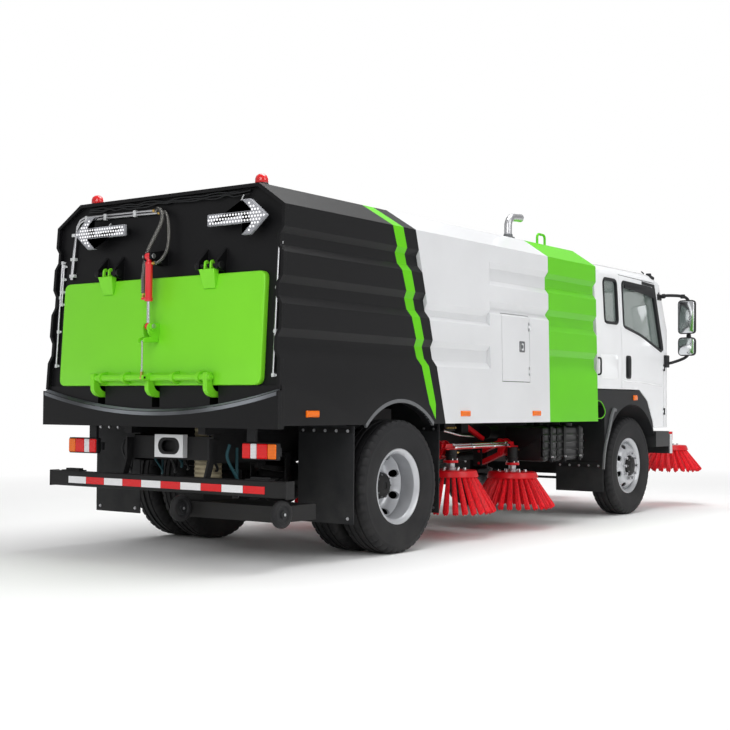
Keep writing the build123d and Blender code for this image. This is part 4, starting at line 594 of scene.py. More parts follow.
def cut(mesh, cutter):
    """A mesh with a form cut out of it."""
    body = bpy.data.objects.new("blank", mesh)
    tool = bpy.data.objects.new("cutter", cutter.mesh("cutter"))
    for obj in (body, tool):
        scene.collection.objects.link(obj)
    step = body.modifiers.new("cut", "BOOLEAN")
    step.operation, step.object, step.solver = "DIFFERENCE", tool, "EXACT"
    result = bpy.data.meshes.new_from_object(body.evaluated_get(bpy.context.evaluated_depsgraph_get()))
    for obj in (body, tool):
        bpy.data.objects.remove(obj)
    return result


def smooth_path(points, step):
    """Points along a smooth curve through the given ones."""
    points = [Vector(p) for p in points]
    spread = [points[0] * 2 - points[1]] + points + [points[-1] * 2 - points[-2]]
    path = []
    for a, b, c, d in zip(spread, spread[1:], spread[2:], spread[3:]):
        for i in range(step):
            t = i / step
            cubic = 3 * b - a - 3 * c + d
            path.append(0.5 * (2 * b + (c - a) * t + (2 * a - 5 * b + 4 * c - d) * t * t + cubic * t ** 3))
    return path + [points[-1]]


SIDES = (("left", 1), ("right", -1))

# ---- Tyres ---------------------------------------------------------------------------------------

AXLE_Z, WHEELBASE = 510, 4500
FRONT_Y, OUTER_Y, INNER_Y = 905, 1070, 760
TYRE_SIDE = ((272, 87), (288, 93), (294, 102), (303, 109), (318, 113), (345, 119), (385, 123.5), (420, 124.6),
    (446, 123.6), (451, 125), (457, 125), (461, 123), (474, 121.5), (486, 118), (497, 110), (505, 101),
    (509, 90))
TREAD = ((509.3, 62), (497, 60), (497, 51), (509.6, 49), (510, 14), (498, 12))
LUGS, LUG_STEPS, LUG_DEPTH = 44, 4, 13
SHOULDER_RADIUS, SHOULDER_Y = 483, 80       # the lugs are cut beyond both


def tyre(form, x, y):
    """Sidewalls with their rings, and a tread of ribs and shoulder lugs."""
    half = TYRE_SIDE + TREAD
    profile = [(r, -a) for r, a in half] + [(r, a) for r, a in reversed(half)]

    def lug(i, step):
        radius, along = profile[i]
        low = step % LUG_STEPS == (0 if along > 0 else 2)
        return -LUG_DEPTH if low and radius > SHOULDER_RADIUS and abs(along) > SHOULDER_Y else 0

    form.turn(profile, (x, y, AXLE_Z), "y", LUGS * LUG_STEPS, lug)


for side_name, s in SIDES:
    for node, body, spots in (("tyre_front_", "wheel_front_", ((WHEELBASE, FRONT_Y),)),
            ("tyres_rear_", "wheels_rear_", ((0, OUTER_Y), (0, INNER_Y)))):
        form = Form()
        for x, y in spots:
            tyre(form, x, s * y)
        node += side_name
        form.make(node + "_tread", "tyre", body + side_name, stands_for=(node,), sharp=40)

# ---- Rims ----------------------------------------------------------------------------------------

RIM_BARREL = ((271.5, -88.2), (290, -88.2), (290, -100), (282, -102), (264, -92), (250, -72), (246, -20),
    (246, 20), (250, 56), (257, 76), (268, 92), (282, 102), (290, 100), (290, 88.2), (271.5, 88.2), (266, 60),
    (266, -60))
HAND_HOLES, STUDS = 8, 10
HOLE_ACROSS, HOLE_AROUND, CUTTER_REACH = 22, 31, 160


def oval_cutters(x, y, radius):
    """Oval bars through a wheel disc, where its hand holes go."""
    form = Form()
    for a in turns(HAND_HOLES):
        a += pi / HAND_HOLES
        rings = []
        for end in (-CUTTER_REACH, CUTTER_REACH):
            ring = []
            for b in turns(20):
                r = radius + HOLE_ACROSS * cos(b)
                t = HOLE_AROUND * sin(b)
                ring.append((x + r * cos(a) - t * sin(a), y + end, AXLE_Z + r * sin(a) + t * cos(a)))
            rings.append(ring)
        form.skin(rings)
    return form.merged()


FRONT_DISC = ((248, 46), (238, 58), (220, 82), (204, 98), (186, 108), (168, 111), (108, 111), (108, 99),
    (166, 99), (182, 96), (197, 87), (211, 72), (230, 48), (248, 34))
REAR_DISC = ((248, 106), (240, 97), (214, 48), (200, 28), (184, 16), (168, 13), (104, 13), (104, 1), (170, 1),
    (190, 5), (208, 20), (224, 44), (248, 88))
FRONT_HUB = ((20, 82), (106, 82), (107, 116), (100, 130), (72, 137), (58, 145), (20, 146))
REAR_HUB = ((30, -30), (108, -30), (109, 60), (104, 66), (96, 108), (80, 122), (40, 128), (30, 128))
# node, body, place; x, y; middles of the barrels, discs, radius of the hand holes; hub's outline, its
# core's ends and radius; studs' radius and place; cap bolts' radius, place, number and height
WHEELS = (
    ("rim_front_", "wheel_front_", "front_", WHEELBASE, FRONT_Y, (0,), (FRONT_DISC,), 211,
     FRONT_HUB, (90, 144), 30, 137, 110, (84, 133, 8, 9)),
    ("rims_rear_", "wheels_rear_", "rear_", 0, (OUTER_Y + INNER_Y) / 2, (155, -155),
     (REAR_DISC, [(r, -a) for r, a in REAR_DISC]), 222, REAR_HUB, (-25, 122), 36, 140, 12, (88, 112, 10, 10)))
for (node, body, place, x, middle, barrels, discs, hole_radius, hub_outline, core, core_radius, stud_radius,
        stud_out, (cap_radius, cap_out, caps, cap_height)) in WHEELS:
    for side_name, s in SIDES:
        rides, rim, centre = body + side_name, node + side_name, (x, s * middle, AXLE_Z)

        def turned(form, outline, sides):
            return form.turn([(r, s * a) for r, a in outline], centre, "y", sides)

        def bolt_ring(count, radius, out):
            return [((x + radius * cos(a), s * (middle + out), AXLE_Z + radius * sin(a)), (0, s, 0))
                for a in turns(count)]

        disc = Form()
        for outline in discs:
            turned(disc, outline, 96)
        drilled = cut(disc.merged().mesh(rim + "_disc"), oval_cutters(x, s * middle, hole_radius))
        piece(rim + "_disc", drilled, rides, "silver_paint", "silver", sharp=30)
        barrel = Form()
        for shift in barrels:
            barrel.turn([(r, a + s * shift) for r, a in RIM_BARREL], centre, "y", 96)
        barrel.make(rim + "_barrel", "silver", rides, stands_for=(rim,), sharp=30)
        hub = turned(Form(), hub_outline, 48)
        hub.bar((x, tuple(s * (middle + out) for out in core), AXLE_Z), core_radius, sides=32)
        hub.make("hub_" + place + side_name, "frame", rides, bevel=1.5)
        studs = bolt_ring(STUDS, stud_radius, stud_out)
        scattered("studs_" + place + side_name, bolt(15, 33), studs, "steel", rides)
        scattered("hub_bolts_" + place + side_name, bolt(7, cap_height), bolt_ring(caps, cap_radius, cap_out),
            "grey", rides, slot="steel")

# ---- Brushes -------------------------------------------------------------------------------------

BUNDLES, STRAND_LAYERS = 28, ((0, 1), (0.5, 6), (1.0, 12))
STRAND = ((0, 4.2), (35, 5.4), (70, 6.4), (95, 6.8), (98.5, 5.2), (100, 2.2))    # root to rounded tip
STRAND_LENGTH = STRAND[-1][0]
BRUSH_Y, CAP_BOLTS_RADIUS = 800, 118
ROOT_RADIUS, TIP_RADIUS = 200, 374          # of the ring of bundles
ROOT_SPREAD, TIP_SPREAD = 11, 20            # of a bundle's strands
MIDDLE_BRUSHES = (("rear", 1330, 208, 575), ("front", 2400, 185, 520))
BRUSHES = [(f"brush_{place}_{name}", x, s * BRUSH_Y, low, top)
    for place, x, low, top in (*MIDDLE_BRUSHES, ("nose", 6000, 395, 690)) for name, s in SIDES]

for name, x, y, low, top in BRUSHES:
    dice = random.Random(name)
    rows = []
    for a in turns(BUNDLES):
        out, round_ = Vector((cos(a), sin(a), 0)), Vector((-sin(a), cos(a), 0))
        root = out * ROOT_RADIUS + Vector((x, y, top - 48))
        tip = out * TIP_RADIUS + Vector((x, y, low + 10))
        down = (tip - root).normalized()
        across = down.cross(round_)
        for share, count in STRAND_LAYERS:
            for b in turns(count):
                b += dice.uniform(-0.2, 0.2)
                spread = round_ * cos(b) + across * sin(b)
                start = root + spread * share * ROOT_SPREAD
                end = tip + spread * share * TIP_SPREAD + Vector((0, 0, dice.uniform(-4, 12)))
                run = end - start
                rows.append((start, run, (1, 1, run.length / STRAND_LENGTH)))
    scattered(name + "_bristles", knob(STRAND, 6), rows, "bristle", name, stands_for=(name,))
    cap = Form().turn(((46, top), (212, top), (222, top - 4), (238, top - 46), (238, top - 55), (225, top - 57),
        (150, top - 50), (46, top - 50)), (x, y, 0), "z", 64)
    cap.make(name + "_cap", "red", name, bevel=2)
    stub = Form().turn(((5, top - 45), (44, top - 45), (44, top + 20), (34, top + 26), (34, top + 59),
        (5, top + 59)), (x, y, 0), "z", 32)
    stub.make(name + "_stub", "steel", name, bevel=1.5)
    heads = [((x + CAP_BOLTS_RADIUS * cos(a), y + CAP_BOLTS_RADIUS * sin(a), top), (0, 0, 1)) for a in turns(6)]
    scattered(name + "_bolts", bolt(13, 20), heads, "chrome", name)

# ---- Nodes that keep their shape -----------------------------------------------------------------

BODY = {node: body for body, nodes in frame["record"]["behaviour"]["bodies"].items() for node in nodes}
SLOT = {part["node"]: part["material_slot"] for part in frame["record"]["subparts"]}
KEPT = {
    "glass": "cab_glass", "cab": "cab_shell", "white": "engine_cover locker_door_left locker_door_right",
    "grey": "engines", "bumper": "front_bumper", "plastic": "front_fenders", "trim": "grille",
    "black": "hopper_shell", "lime": "water_tank",
    "frame": "chassis_frame front_axle knuckle_left knuckle_right leaf_springs rear_axle "
             "suction_nozzle tie_rod",
    "red": "lower_links_left lower_links_right nose_arm_left nose_arm_right upper_links_left upper_links_right"}
for finish, nodes in KEPT.items():
    for node in nodes.split():
        dress(node + "_skin", merged_copy(node), node, SLOT[node], finish, (node,))

# ---- Rear wall and discharge door ----------------------------------------------------------------

WALL_FOOT_X, WALL_FOOT_Z, WALL_LEAN = -1430, 985, 0.06
HALF_WIDTH, ROOF_DRAW, BODY_HEIGHT = 1195, 30, 1521


def rear_x(z):
    """The rear wall's outer face at a height."""
    return WALL_FOOT_X + WALL_LEAN * (z - WALL_FOOT_Z)


def side_y(z):
    """Half width of the body at a height."""
    return HALF_WIDTH - (z - WALL_FOOT_Z) * ROOF_DRAW / BODY_HEIGHT


def rounded(points, radius, steps=5):
    """An outline of two coordinates with its corners rounded."""
    points = [Vector(p) for p in points]
    result = []
    for before, corner, after in zip(points[-1:] + points[:-1], points, points[1:] + points[:1]):
        back, on = before - corner, after - corner
        reach = min(radius, back.length / 2.01, on.length / 2.01)
        start, end = corner + back.normalized() * reach, corner + on.normalized() * reach
        for i in range(steps + 1):
            t = i / steps
            result.append(tuple(start * (1 - t) ** 2 + corner * (2 * t * (1 - t)) + end * t * t))
    return result


def inset(points, by):
    """A closed outline moved inward."""
    turn = 1 if sum(a[0] * b[1] - b[0] * a[1] for a, b in zip(points, points[1:] + points[:1])) > 0 else -1
    result = []
    for before, here, after in zip(points[-1:] + points[:-1], points, points[1:] + points[:1]):
        run = (Vector(after) - Vector(before)).normalized() * by * turn
        result.append((here[0] - run.y, here[1] + run.x))
    return result


def oblong(across, upward, radius, steps=5):
    """A rounded rectangle's outline from its two spans."""
    (left, right_end), (low, high) = across, upward
    return rounded(((left, low), (right_end, low), (right_end, high), (left, high)), radius, steps)


def rearward(x):
    """Puts a (y, z) point at a depth behind an upright plane."""
    return lambda point, depth: (x - depth, *point)


def forward_of(x):
    """Puts a (y, z) point at a depth before an upright plane."""
    return lambda point, depth: (x + depth, *point)


def on_wall(point, out):
    """A (y, z) point on the leaning rear wall, some way out of it."""
    return (rear_x(point[1]) - out, *point)


HINGE = (-1432, 2110)
ARM_YS = (520, -520)
form = Form().stack(oblong((-1025, 1025), (1262, 2052), 60, 8), on_wall, ((1, 0), (37, 0), (43, 3), (45, 9)))
form.make("discharge_panel", "door", "discharge_door", stands_for=("discharge_door",), sharp=50)
form = Form()
for y in ARM_YS:
    form.skin([[on_wall((y + a * half, z), out) for a, out in ((-1, 44), (-1, depth), (1, depth), (1, 44))]
        for z, depth, half in ((1948, 58, 54), (2084, 102, 74))])
    for step in (-38, 18):
        form.plate(rounded(((-1468, 2080), (-1462, 2140), (-1432, 2152), (-1414, 2130), (-1410, 2080)), 14),
            y + step, 7)
form.make("discharge_hinge_boxes", "door", "discharge_door", bevel=5, steps=3)
form = Form()
for y in ARM_YS:
    form.bar((HINGE[0], (y - 118, y + 118), HINGE[1]), 15)
    for end in (-1, 1):
        form.bar((HINGE[0], (y + end * 103, y + end * 122), HINGE[1]), 27)
form.make("discharge_hinge_pins", "frame", "discharge_door", bevel=3)

CRANK = (-1512, 1684)
form = Form()
web = ((rear_x(1718) - 44, 1718), (-1500, 1715), (-1540, 1698), (-1546, 1640), (-1508, 1606),
    (rear_x(1590) - 44, 1590))
for y in (-28, 28):
    form.plate(rounded(web, 22), y, 7)
    form.bar((CRANK[0], (y - 9, y + 9), CRANK[1] - 6), 38, sides=40)
form.bar((CRANK[0], (-52, -36), CRANK[1]), 24, sides=28)
guide = ((rear_x(1622) - 44, 1622), (-1540, 1612), (-1591, 1600), (-1591, 1570), (rear_x(1578) - 44, 1578))
for y in (-28, 28):
    form.plate(rounded(guide, 14), y, 6)
form.make("crank_plates", "door", "discharge_door", bevel=3)
form = Form().bar((-1512, (-60, 46), 1690), 12)
form.bar((-1512, (-64, -51), 1690), 18, sides=6)
form.bar((-1512, (36, 47), 1690), 19, sides=6)
form.make("crank_pin", "steel", "discharge_door", bevel=1)

LOCK = (-1500, 1318)
form = Form()
for y in (500, 250, -250, -500):
    lug = ((rear_x(1364) - 44, 1368), (LOCK[0] - 8, 1358), (LOCK[0] - 36, 1336), (LOCK[0] - 36, 1300),
        (LOCK[0] - 8, 1278), (rear_x(1270) - 44, 1268))
    form.plate(rounded(lug, 14), y, 14)
form.make("lock_lugs", "door", "discharge_door", bevel=3)
form = Form().bar((LOCK[0], (-610, 610), LOCK[1]), 24, sides=32)
for y in (590, -590, 38):
    form.bar((LOCK[0], (y - 9, y + 9), LOCK[1]), 31, sides=32)
CLAW = ((-30, 36), (30, 36), (31, -40), (42, -72), (74, -98), (150, -106), (150, -142), (60, -142), (4, -126),
    (-26, -92))
for y in (575, 0, -575):
    form.plate(rounded([(LOCK[0] + a, LOCK[1] + u) for a, u in CLAW], 16, 4), y, 20)
form.plate(rounded(((-1590, 1300), (-1590, 1336), (-1500, 1344), (-1500, 1292)), 14), -17, 8)
form.make("lock_shaft_claws", "door", "lock_shaft", stands_for=("lock_shaft",), bevel=4, steps=3, sharp=40)
form = Form()
for y in (575, 0, -575):
    form.bar((LOCK[0] - 8, (y - 24, y + 24), LOCK[1] + 12), 9, sides=6)
form.bar((-1570, (-30, 13), LOCK[1]), 8)
form.make("lock_shaft_bolts", "frame", "lock_shaft", slot="green_paint", bevel=1)
form = Form().bar((-1570, 0, (1345, 1585)), 7)
for low, high, radius in ((1360, 1378, 12), (1400, 1412, 11), (1570, 1584, 10)):
    form.bar((-1570, 0, (low, high)), radius, sides=6)
form.make("lock_link_rod", "chrome", "lock_link", stands_for=("lock_link",), bevel=1)
form = Form().bar((-1570, (-8, 8), 1318), 17, sides=28)
form.block((-1581, -1559), (-8, 8), (1326, 1362))
form.make("lock_link_clevis", "brass", "lock_link", bevel=2)

# ---- Door cylinder and its hoses -----------------------------------------------------------------

CYLINDER_X = -1512
CYLINDER = ((15, 1872), (29, 1872), (31, 1876), (31, 1898), (27, 1902), (27, 2128), (29, 2131), (29, 2150),
    (24, 2162), (19, 2164), (19, 2190), (5, 2190), (5, 1950), (15, 1950))
form = Form().turn(CYLINDER, (CYLINDER_X, 0, 0), "z", 40)
form.bar((CYLINDER_X, (-22, 22), 2200), 26, sides=32)
form.bar((CYLINDER_X, (30, 68), 1895), 11)
form.make("door_cylinder_barrel", "cylinder", "door_cylinder", slot="green_paint",
    stands_for=("door_cylinder",), bevel=1.5)
form = Form().bar((CYLINDER_X, (-58, -30), 2148), 9)
form.bar((CYLINDER_X, (-50, -42), 2148), 14, sides=6)
form.bar((CYLINDER_X, 58, (1890, 1936)), 9)
form.bar((CYLINDER_X, 58, (1908, 1920)), 14, sides=6)
form.make("door_cylinder_ports", "brass", "door_cylinder", bevel=0.8)
form = Form().bar((CYLINDER_X, (-48, 48), 2200), 12)
for end in (-1, 1):
    form.bar((CYLINDER_X, (end * 41, end * 52), 2200), 19, sides=6)
form.make("door_cylinder_pin", "steel", "door_cylinder", bevel=1)
form = Form().bar((CYLINDER_X, 0, (1714, 1975)), 14, sides=28)
form.make("door_rod_chrome", "chrome", "door_rod", stands_for=("door_rod",))
form = Form().bar((CYLINDER_X, (-15, 15), 1690), 24, sides=32)
form.bar((CYLINDER_X, 0, (1700, 1716)), 17, 15, sides=28)
form.make("door_rod_eye", "cylinder", "door_rod", slot="steel", bevel=2)


def follow_tube(name, points, radius, sides, finish, step=10, bend=None):
    """A rubber tube along a smooth curve, on the chassis, or on no body when a bend is given."""
    Form().tube(smooth_path(points, step), radius, sides).make(name, finish, slot="rubber", sharp=60, bend=bend)


HOSE_TO_FOOT = ((-1352, 96, 2562), (-1370, 60, 2572), (-1392, 12, 2552), (-1412, -30, 2500), (-1432, -32, 2440),
    (-1456, 2, 2350), (-1482, 40, 2250), (-1500, 58, 2150), (-1510, 62, 2050), (-1512, 58, 1980),
    (-1512, 58, 1934))
HOSE_TO_HEAD = ((-1356, 40, 2540), (-1380, -20, 2540), (-1396, -64, 2500), (-1400, -84, 2430),
    (-1404, -90, 2340), (-1424, -92, 2250), (-1458, -84, 2190), (-1490, -72, 2156), (-1512, -58, 2148))
for name, points, radius in (("hose_to_foot", HOSE_TO_FOOT, 15), ("hose_to_head", HOSE_TO_HEAD, 12)):
    follow_tube(name, points, radius, 14, "braid", bend=("door_cylinder", (-1400, 0, 2440), (-1505, 0, 2140)))
form = Form()
for y, z, run in ((96, 2562, -1), (40, 2540, -1)):
    form.rod((-1350, y + 34, z + 2), (-1356, y - 4, z), 10, sides=20)
    form.rod((-1351, y + 26, z + 2), (-1353, y + 12, z + 1), 15, sides=6)
form.make("hose_fittings", "brass", bevel=0.8)

# ---- Steel pipes, conduits and clips on the rear wall --------------------------------------------

PIPE_X = rear_x(2570) - 16
form = Form()
for y, z, out in ((110, 2566, 0), (60, 2543, 2)):
    route = [(PIPE_X - out, y + 20, z), (PIPE_X - out, 500, z + 4), (PIPE_X - out, 880, z + 6)]
    corner = [(PIPE_X - out, 925, z - 10), (rear_x(2500) - 18, 955, z - 60)]
    drop = [(rear_x(2300) - 18, 966 + out * 6, 2300), (rear_x(2090) - 18, 978 + out * 6, 2090)]
    form.tube(route + corner + drop, 9, 14)
form.make("steel_pipes", "steel", stands_for=("hydraulic_pipes",), sharp=60)
form = Form()
for y in (318, 640, 850):
    form.block((PIPE_X - 14, PIPE_X + 15), (y - 13, y + 13), (2533, 2582))
for z in (2440, 2250, 2120):
    form.block((rear_x(z) - 32, rear_x(z)), (948, 1000), (z - 12, z + 12))
form.make("pipe_clips", "pale", bevel=3)

# ---- Conduits and wiring on the rear wall --------------------------------------------------------

form, collars = Form(), Form()
for y, low, high in ((-1112, 1330, 2240), (1108, 1420, 2230), (1086, 1900, 2200)):
    form.tube([(rear_x(z) - 13, y, z) for z in (low, (low + high) / 2, high)], 9, 14)
    for share in (0, 0.33, 0.66, 1):
        z = low + (high - low) * share
        collars.bar((rear_x(z) - 13, y, (z - 13, z + 13)), 13, sides=20)
        collars.block((rear_x(z) - 8, rear_x(z)), (y - 24, y + 24), (z - 8, z + 8))
form.make("wall_conduits", "steel", sharp=60)
collars.make("conduit_collars", "pale", bevel=1)
dice = random.Random("wiring")
for number in range(3):
    route = []
    for i in range(23):
        y = 820 - i * 75
        z = 2632 - number * 13 + dice.uniform(-11, 9)
        route.append((rear_x(z) - 13 - number * 5, y, z))
    follow_tube(f"roof_wiring_{number}", route, 7.5 - number, 8, "trim", 3)
ARROW_CABLES = (((-780, 2600), (-700, 2500)), ((-560, 2470), (-740, 2540)), ((560, 2500), (660, 2460)))
for number, (start, end) in enumerate(ARROW_CABLES):
    sag = ((start[0] + end[0]) / 2, (start[1] + end[1]) / 2 - 18)
    route = [(rear_x(z) - 30, y, z) for y, z in (start, sag, end)]
    follow_tube(f"arrow_cable_{number}", route, 5, 8, "pale", 5)

# ---- Arrow boards --------------------------------------------------------------------------------

ARROW = ((-270, 0), (-120, 124), (-38, 124), (-132, 42), (282, 42), (282, -42), (-132, -42), (-38, -124),
    (-120, -124))
BACKING = (((-135, -38), (278, -38), (278, 38), (-135, 38)), ((-264, 0), (-120, 119), (-46, 119), (-136, 40)),
    ((-264, 0), (-136, -40), (-46, -119), (-120, -119)), ((-264, 0), (-134, -40), (-134, 40)))
ARROW_Z, DOT_STEP = 2427, 27


def inside(point, outline):
    """Whether a point lies inside an outline."""
    x, y = point
    odd = False
    for (ax, ay), (bx, by) in zip(outline, outline[1:] + outline[:1]):
        if (ay > y) != (by > y) and x < (bx - ax) * (y - ay) / (by - ay) + ax:
            odd = not odd
    return odd


face_x = rear_x(ARROW_Z) - 105
boards, backs, dots = Form(), Form(), []
for middle, side in ((615, 1), (-792, -1)):
    outline = [(middle - side * a, ARROW_Z + b) for a, b in ARROW]
    boards.stack(rounded(outline, 7, 3), rearward(face_x + 26), ((0, 0), (20, 0), (26, 4), (22, 7)))
    for share in BACKING:
        backs.slab([(middle - side * a, ARROW_Z + b) for a, b in share], "x", (face_x + 25.5, face_x + 40))
    for y in (-90, 200):
        backs.block((rear_x(ARROW_Z) + 2, face_x + 38), (middle - side * y - 26, middle - side * y + 26),
            (ARROW_Z - 26, ARROW_Z + 26))
    room = inset(outline, 17)
    for row in range(-4, 5):
        for column in range(-22, 24):
            spot = (middle - side * (column + (row % 2) * 0.5) * DOT_STEP, ARROW_Z + row * DOT_STEP * 0.87)
            if inside(spot, room):
                dots.append(((face_x + 4, *spot), (-1, 0, 0)))
boards.make("arrow_faces", "board", stands_for=("arrow_boards",), sharp=30)
backs.make("arrow_backs", "plastic", bevel=2)
scattered("arrow_leds", knob(((-2, 8.5), (2, 8), (5, 5.5), (6.5, 2)), 10), dots, "dots")

# ---- Lamps ---------------------------------------------------------------------------------------

BEACON = (-1250, 845, 2674.5)
BEACON_DOME = ((2, 16), (45, 16), (48, 22), (47, 48), (40, 66), (24, 79), (8, 83), (2, 83))
Form().turn(BEACON_DOME, BEACON, "z", 40).mirrored().make("beacon_domes", "dome", stands_for=("lamps",))
form = Form().turn(((2, 0), (51, 0), (51, 10), (46, 17), (2, 17)), BEACON, "z", 40)
form.mirrored().make("beacon_bases", "plastic", bevel=2)

TAIL_LENSES = {"amber_lens": ((1056, 984),), "red_lens": ((980, 884), (822, 750)), "clear_lens": ((880, 826),)}
form = Form().stack(oblong((745, 1061), (744, 864), 10), rearward(-1274), ((0, 4), (6, 0), (40, 0), (44, 3)))
form.block((-1300, -1276), (770, 850), (860, 1158)).block((-1278, -1250), (730, 1050), (770, 830))
form.mirrored().make("tail_lamp_cases", "plastic", bevel=2)
for kind, spans in TAIL_LENSES.items():
    form = Form()
    for outer, inner in spans:
        form.stack(oblong((inner, outer), (752, 856), 9), rearward(-1314), ((0, 0), (10, 0), (14.5, 5)))
    form.mirrored().make("tail_lamp_" + kind, kind)
CORNERS, MARKER_Z = ((-1, -1), (1, -1), (1, 1), (-1, 1)), 1065
form, y = Form(), side_y(MARKER_Z) - 2
for x in (-1095, 926, 2140):
    form.skin([[(x + a * half, y + out, MARKER_Z + b * rise) for a, b in CORNERS]
        for out, half, rise in ((0, 72, 24), (10, 70, 22), (17, 62, 15))])
form.mirrored().make("side_marker_lamps", "amber_lens", bevel=2)

# ---- Underrun bar, towing plate and number-plate lamps -------------------------------------------

form = Form().stack(oblong((-1384, -1300), (490, 604), 9), lambda p, d: (p[0], d, p[1]),
    ((-1203, 0), (1203, 0)))
for s in (1, -1):
    form.slab(((-1362, 590), (-1304, 590), (-1206, 872), (-1264, 872)), "y", (s * 411, s * 431))
    form.slab(((-1318, 722), (-1202, 722), (-1202, 878), (-1318, 878)), "y", (s * 412, s * 430))
    form.block((-1388, -1296), (s * 1196, s * 1204), (486, 608))
form.make("underrun_beam", "frame", slot="grey_paint", stands_for=("underrun_bar",), bevel=2)
TAPE_START, TAPE_STEP, TAPE_GAP = 985.0, 200.0, 3
for name, start in (("tape_white", 0), ("tape_red", 1)):
    form = Form()
    for i in range(start, 10, 2):
        y = TAPE_START - i * TAPE_STEP
        form.block((-1386.2, -1383), (y, y - TAPE_STEP + TAPE_GAP), (514, 566))
    form.make("underrun_" + name, name, slot="grey_paint", bevel=0.5)
covers, brackets = Form(), Form()
for y in (980, -925):
    covers.block((-1352, -1306), (y - 75, y + 75), (606, 626))
    brackets.block((-1372, -1300), (y - 105, y + 105), (603, 613))
covers.make("plate_lamp_covers", "plastic", slot="lamp_plastic", bevel=3)
brackets.make("plate_lamp_brackets", "frame", bevel=2)

TOWING_Z, SLOT_RADIUS, SLOT_REACH, SLOT_SIDES = 820, 62, 48, 40
slot_ring = []
for i in range(SLOT_SIDES):
    a = 2 * pi * (i + 0.5) / SLOT_SIDES
    slot_ring.append((cos(a) * SLOT_RADIUS + (SLOT_REACH if cos(a) > 0 else -SLOT_REACH),
        TOWING_Z + sin(a) * SLOT_RADIUS))
outer_ring = []
for y, z in slot_ring:
    a = atan2(z - TOWING_Z, y * 0.62)
    outer_ring.append((max(-144.5, min(144.5, cos(a) * 190)), TOWING_Z + max(-84.5, min(84.5, sin(a) * 150))))
form = Form().block((-1292, -1246), (133, 145.5), (735, 905)).mirrored()
form.skin([[(x, *p) for p in outline] for x, outline in ((-1293.6, slot_ring), (-1293.6, outer_ring),
    (-1280, outer_ring), (-1280, slot_ring), (-1293.6, slot_ring))], caps=False)
form.make("towing_plate_skin", "white", bevel=1.5)

# ---- Rims and seams of the body ------------------------------------------------------------------


def arch(radius, start, end):
    """(x, z) points round the rear wheel arch, angles in degrees from forward over the top."""
    angles = [radians(start + (end - start) * i / 36) for i in range(37)]
    return [(radius * cos(a), AXLE_Z + radius * sin(a)) for a in angles]


strip = []
for (x, z), (u, w) in zip(arch(668, 47, 134), arch(640, 46, 135)):
    strip.append([(x, side_y(z) + 1, z), (u, side_y(w) + 1, w), (u, side_y(w) - 20, w), (x, side_y(z) - 20, z)])
Form().skin(strip).mirrored().make("arch_trims", "grey", slot="rubber", sharp=40)

rings = []
for i in range(25):
    y = 1180 * (i / 12 - 1)
    z = 1075 + 150 * (y / 1195) ** 2
    rings.append([(-1470, y, z - 4), (-1471, y, z - 30), (-1431, y, z - 24), (-1431, y, z + 16),
        (-1440, y, z + 16)])
Form().skin(rings).make("skirt_ledge", "ledge", sharp=30)

for side_name, s in SIDES:
    y = side_y(1640)
    rings = [(d, oblong((1850 - w, 1942 + w), (1608 - w, 1700 + w), 12))
        for d, w in ((0, 3), (9, 3), (11, 0), (11, -12), (6, -16), (6, -30))]
    form = Form().skin([[(x, s * (y - 8 + d), z) for x, z in outline] for d, outline in rings])
    form.bar((1896, (s * (y - 4), s * (y + 4.5)), 1654), 17)
    form.block((1872, 1884), (s * (y - 4), s * (y + 3.5)), (1620, 1690))
    form.make("locker_latch_" + side_name, "grey", "locker_door_" + side_name, slot="white_paint", bevel=1,
        sharp=30)

# ---- Roof: exhaust, intake, hoops ----------------------------------------------------------------

STACK, BEND_START, BEND_RADIUS = (2228, -845, 2674.3), 118, 90
x, y, z = STACK
route = [(x, y, z + h) for h in (2, 60, BEND_START)]
for a in map(radians, range(12, 91, 13)):
    route.append((x + BEND_RADIUS * (1 - cos(a)), y, z + BEND_START + BEND_RADIUS * sin(a)))
route += [(x + 150, y, z + 213), (x + 230, y, z + 219)]
form = Form().tube(route, 36, 32, [36] * (len(route) - 1) + [38])
form.rod((x + 206, y, z + 217.5), (x + 216, y, z + 218), 38, sides=32)
form.make("exhaust_pipe", "steel", slot="black_paint", stands_for=("engine_ducts",), sharp=50)
form = Form().bar((x, y, (z, z + 14)), 62, sides=40).bar((x, y, (z + 12, z + 44)), 47, 41, sides=40)
form.make("exhaust_flange", "grey", bevel=2)
x, y, rings = 3515, -900, range(166)
ribs = [78 + 6 * max(-0.4, sin(i * pi / 4)) for i in rings]
form = Form().tube([(x, y, 1200 + 6 * i) for i in rings], 80, 28, ribs)
form.tube([(x, y, 2180), (x, -898, 2260), (x, -870, 2330), (x, -800, 2385), (x, -705, 2418)], 76, 28)
form.make("intake_pipe", "plastic", sharp=60)
form = Form()
for z in (1500, 2100):
    form.block((3390, 3445), (-930, -870), (z, z + 60)).bar((x, y, (z + 5, z + 55)), 85, sides=32)
form.make("intake_brackets", "frame", bevel=2)

# ---- Mud flaps -----------------------------------------------------------------------------------

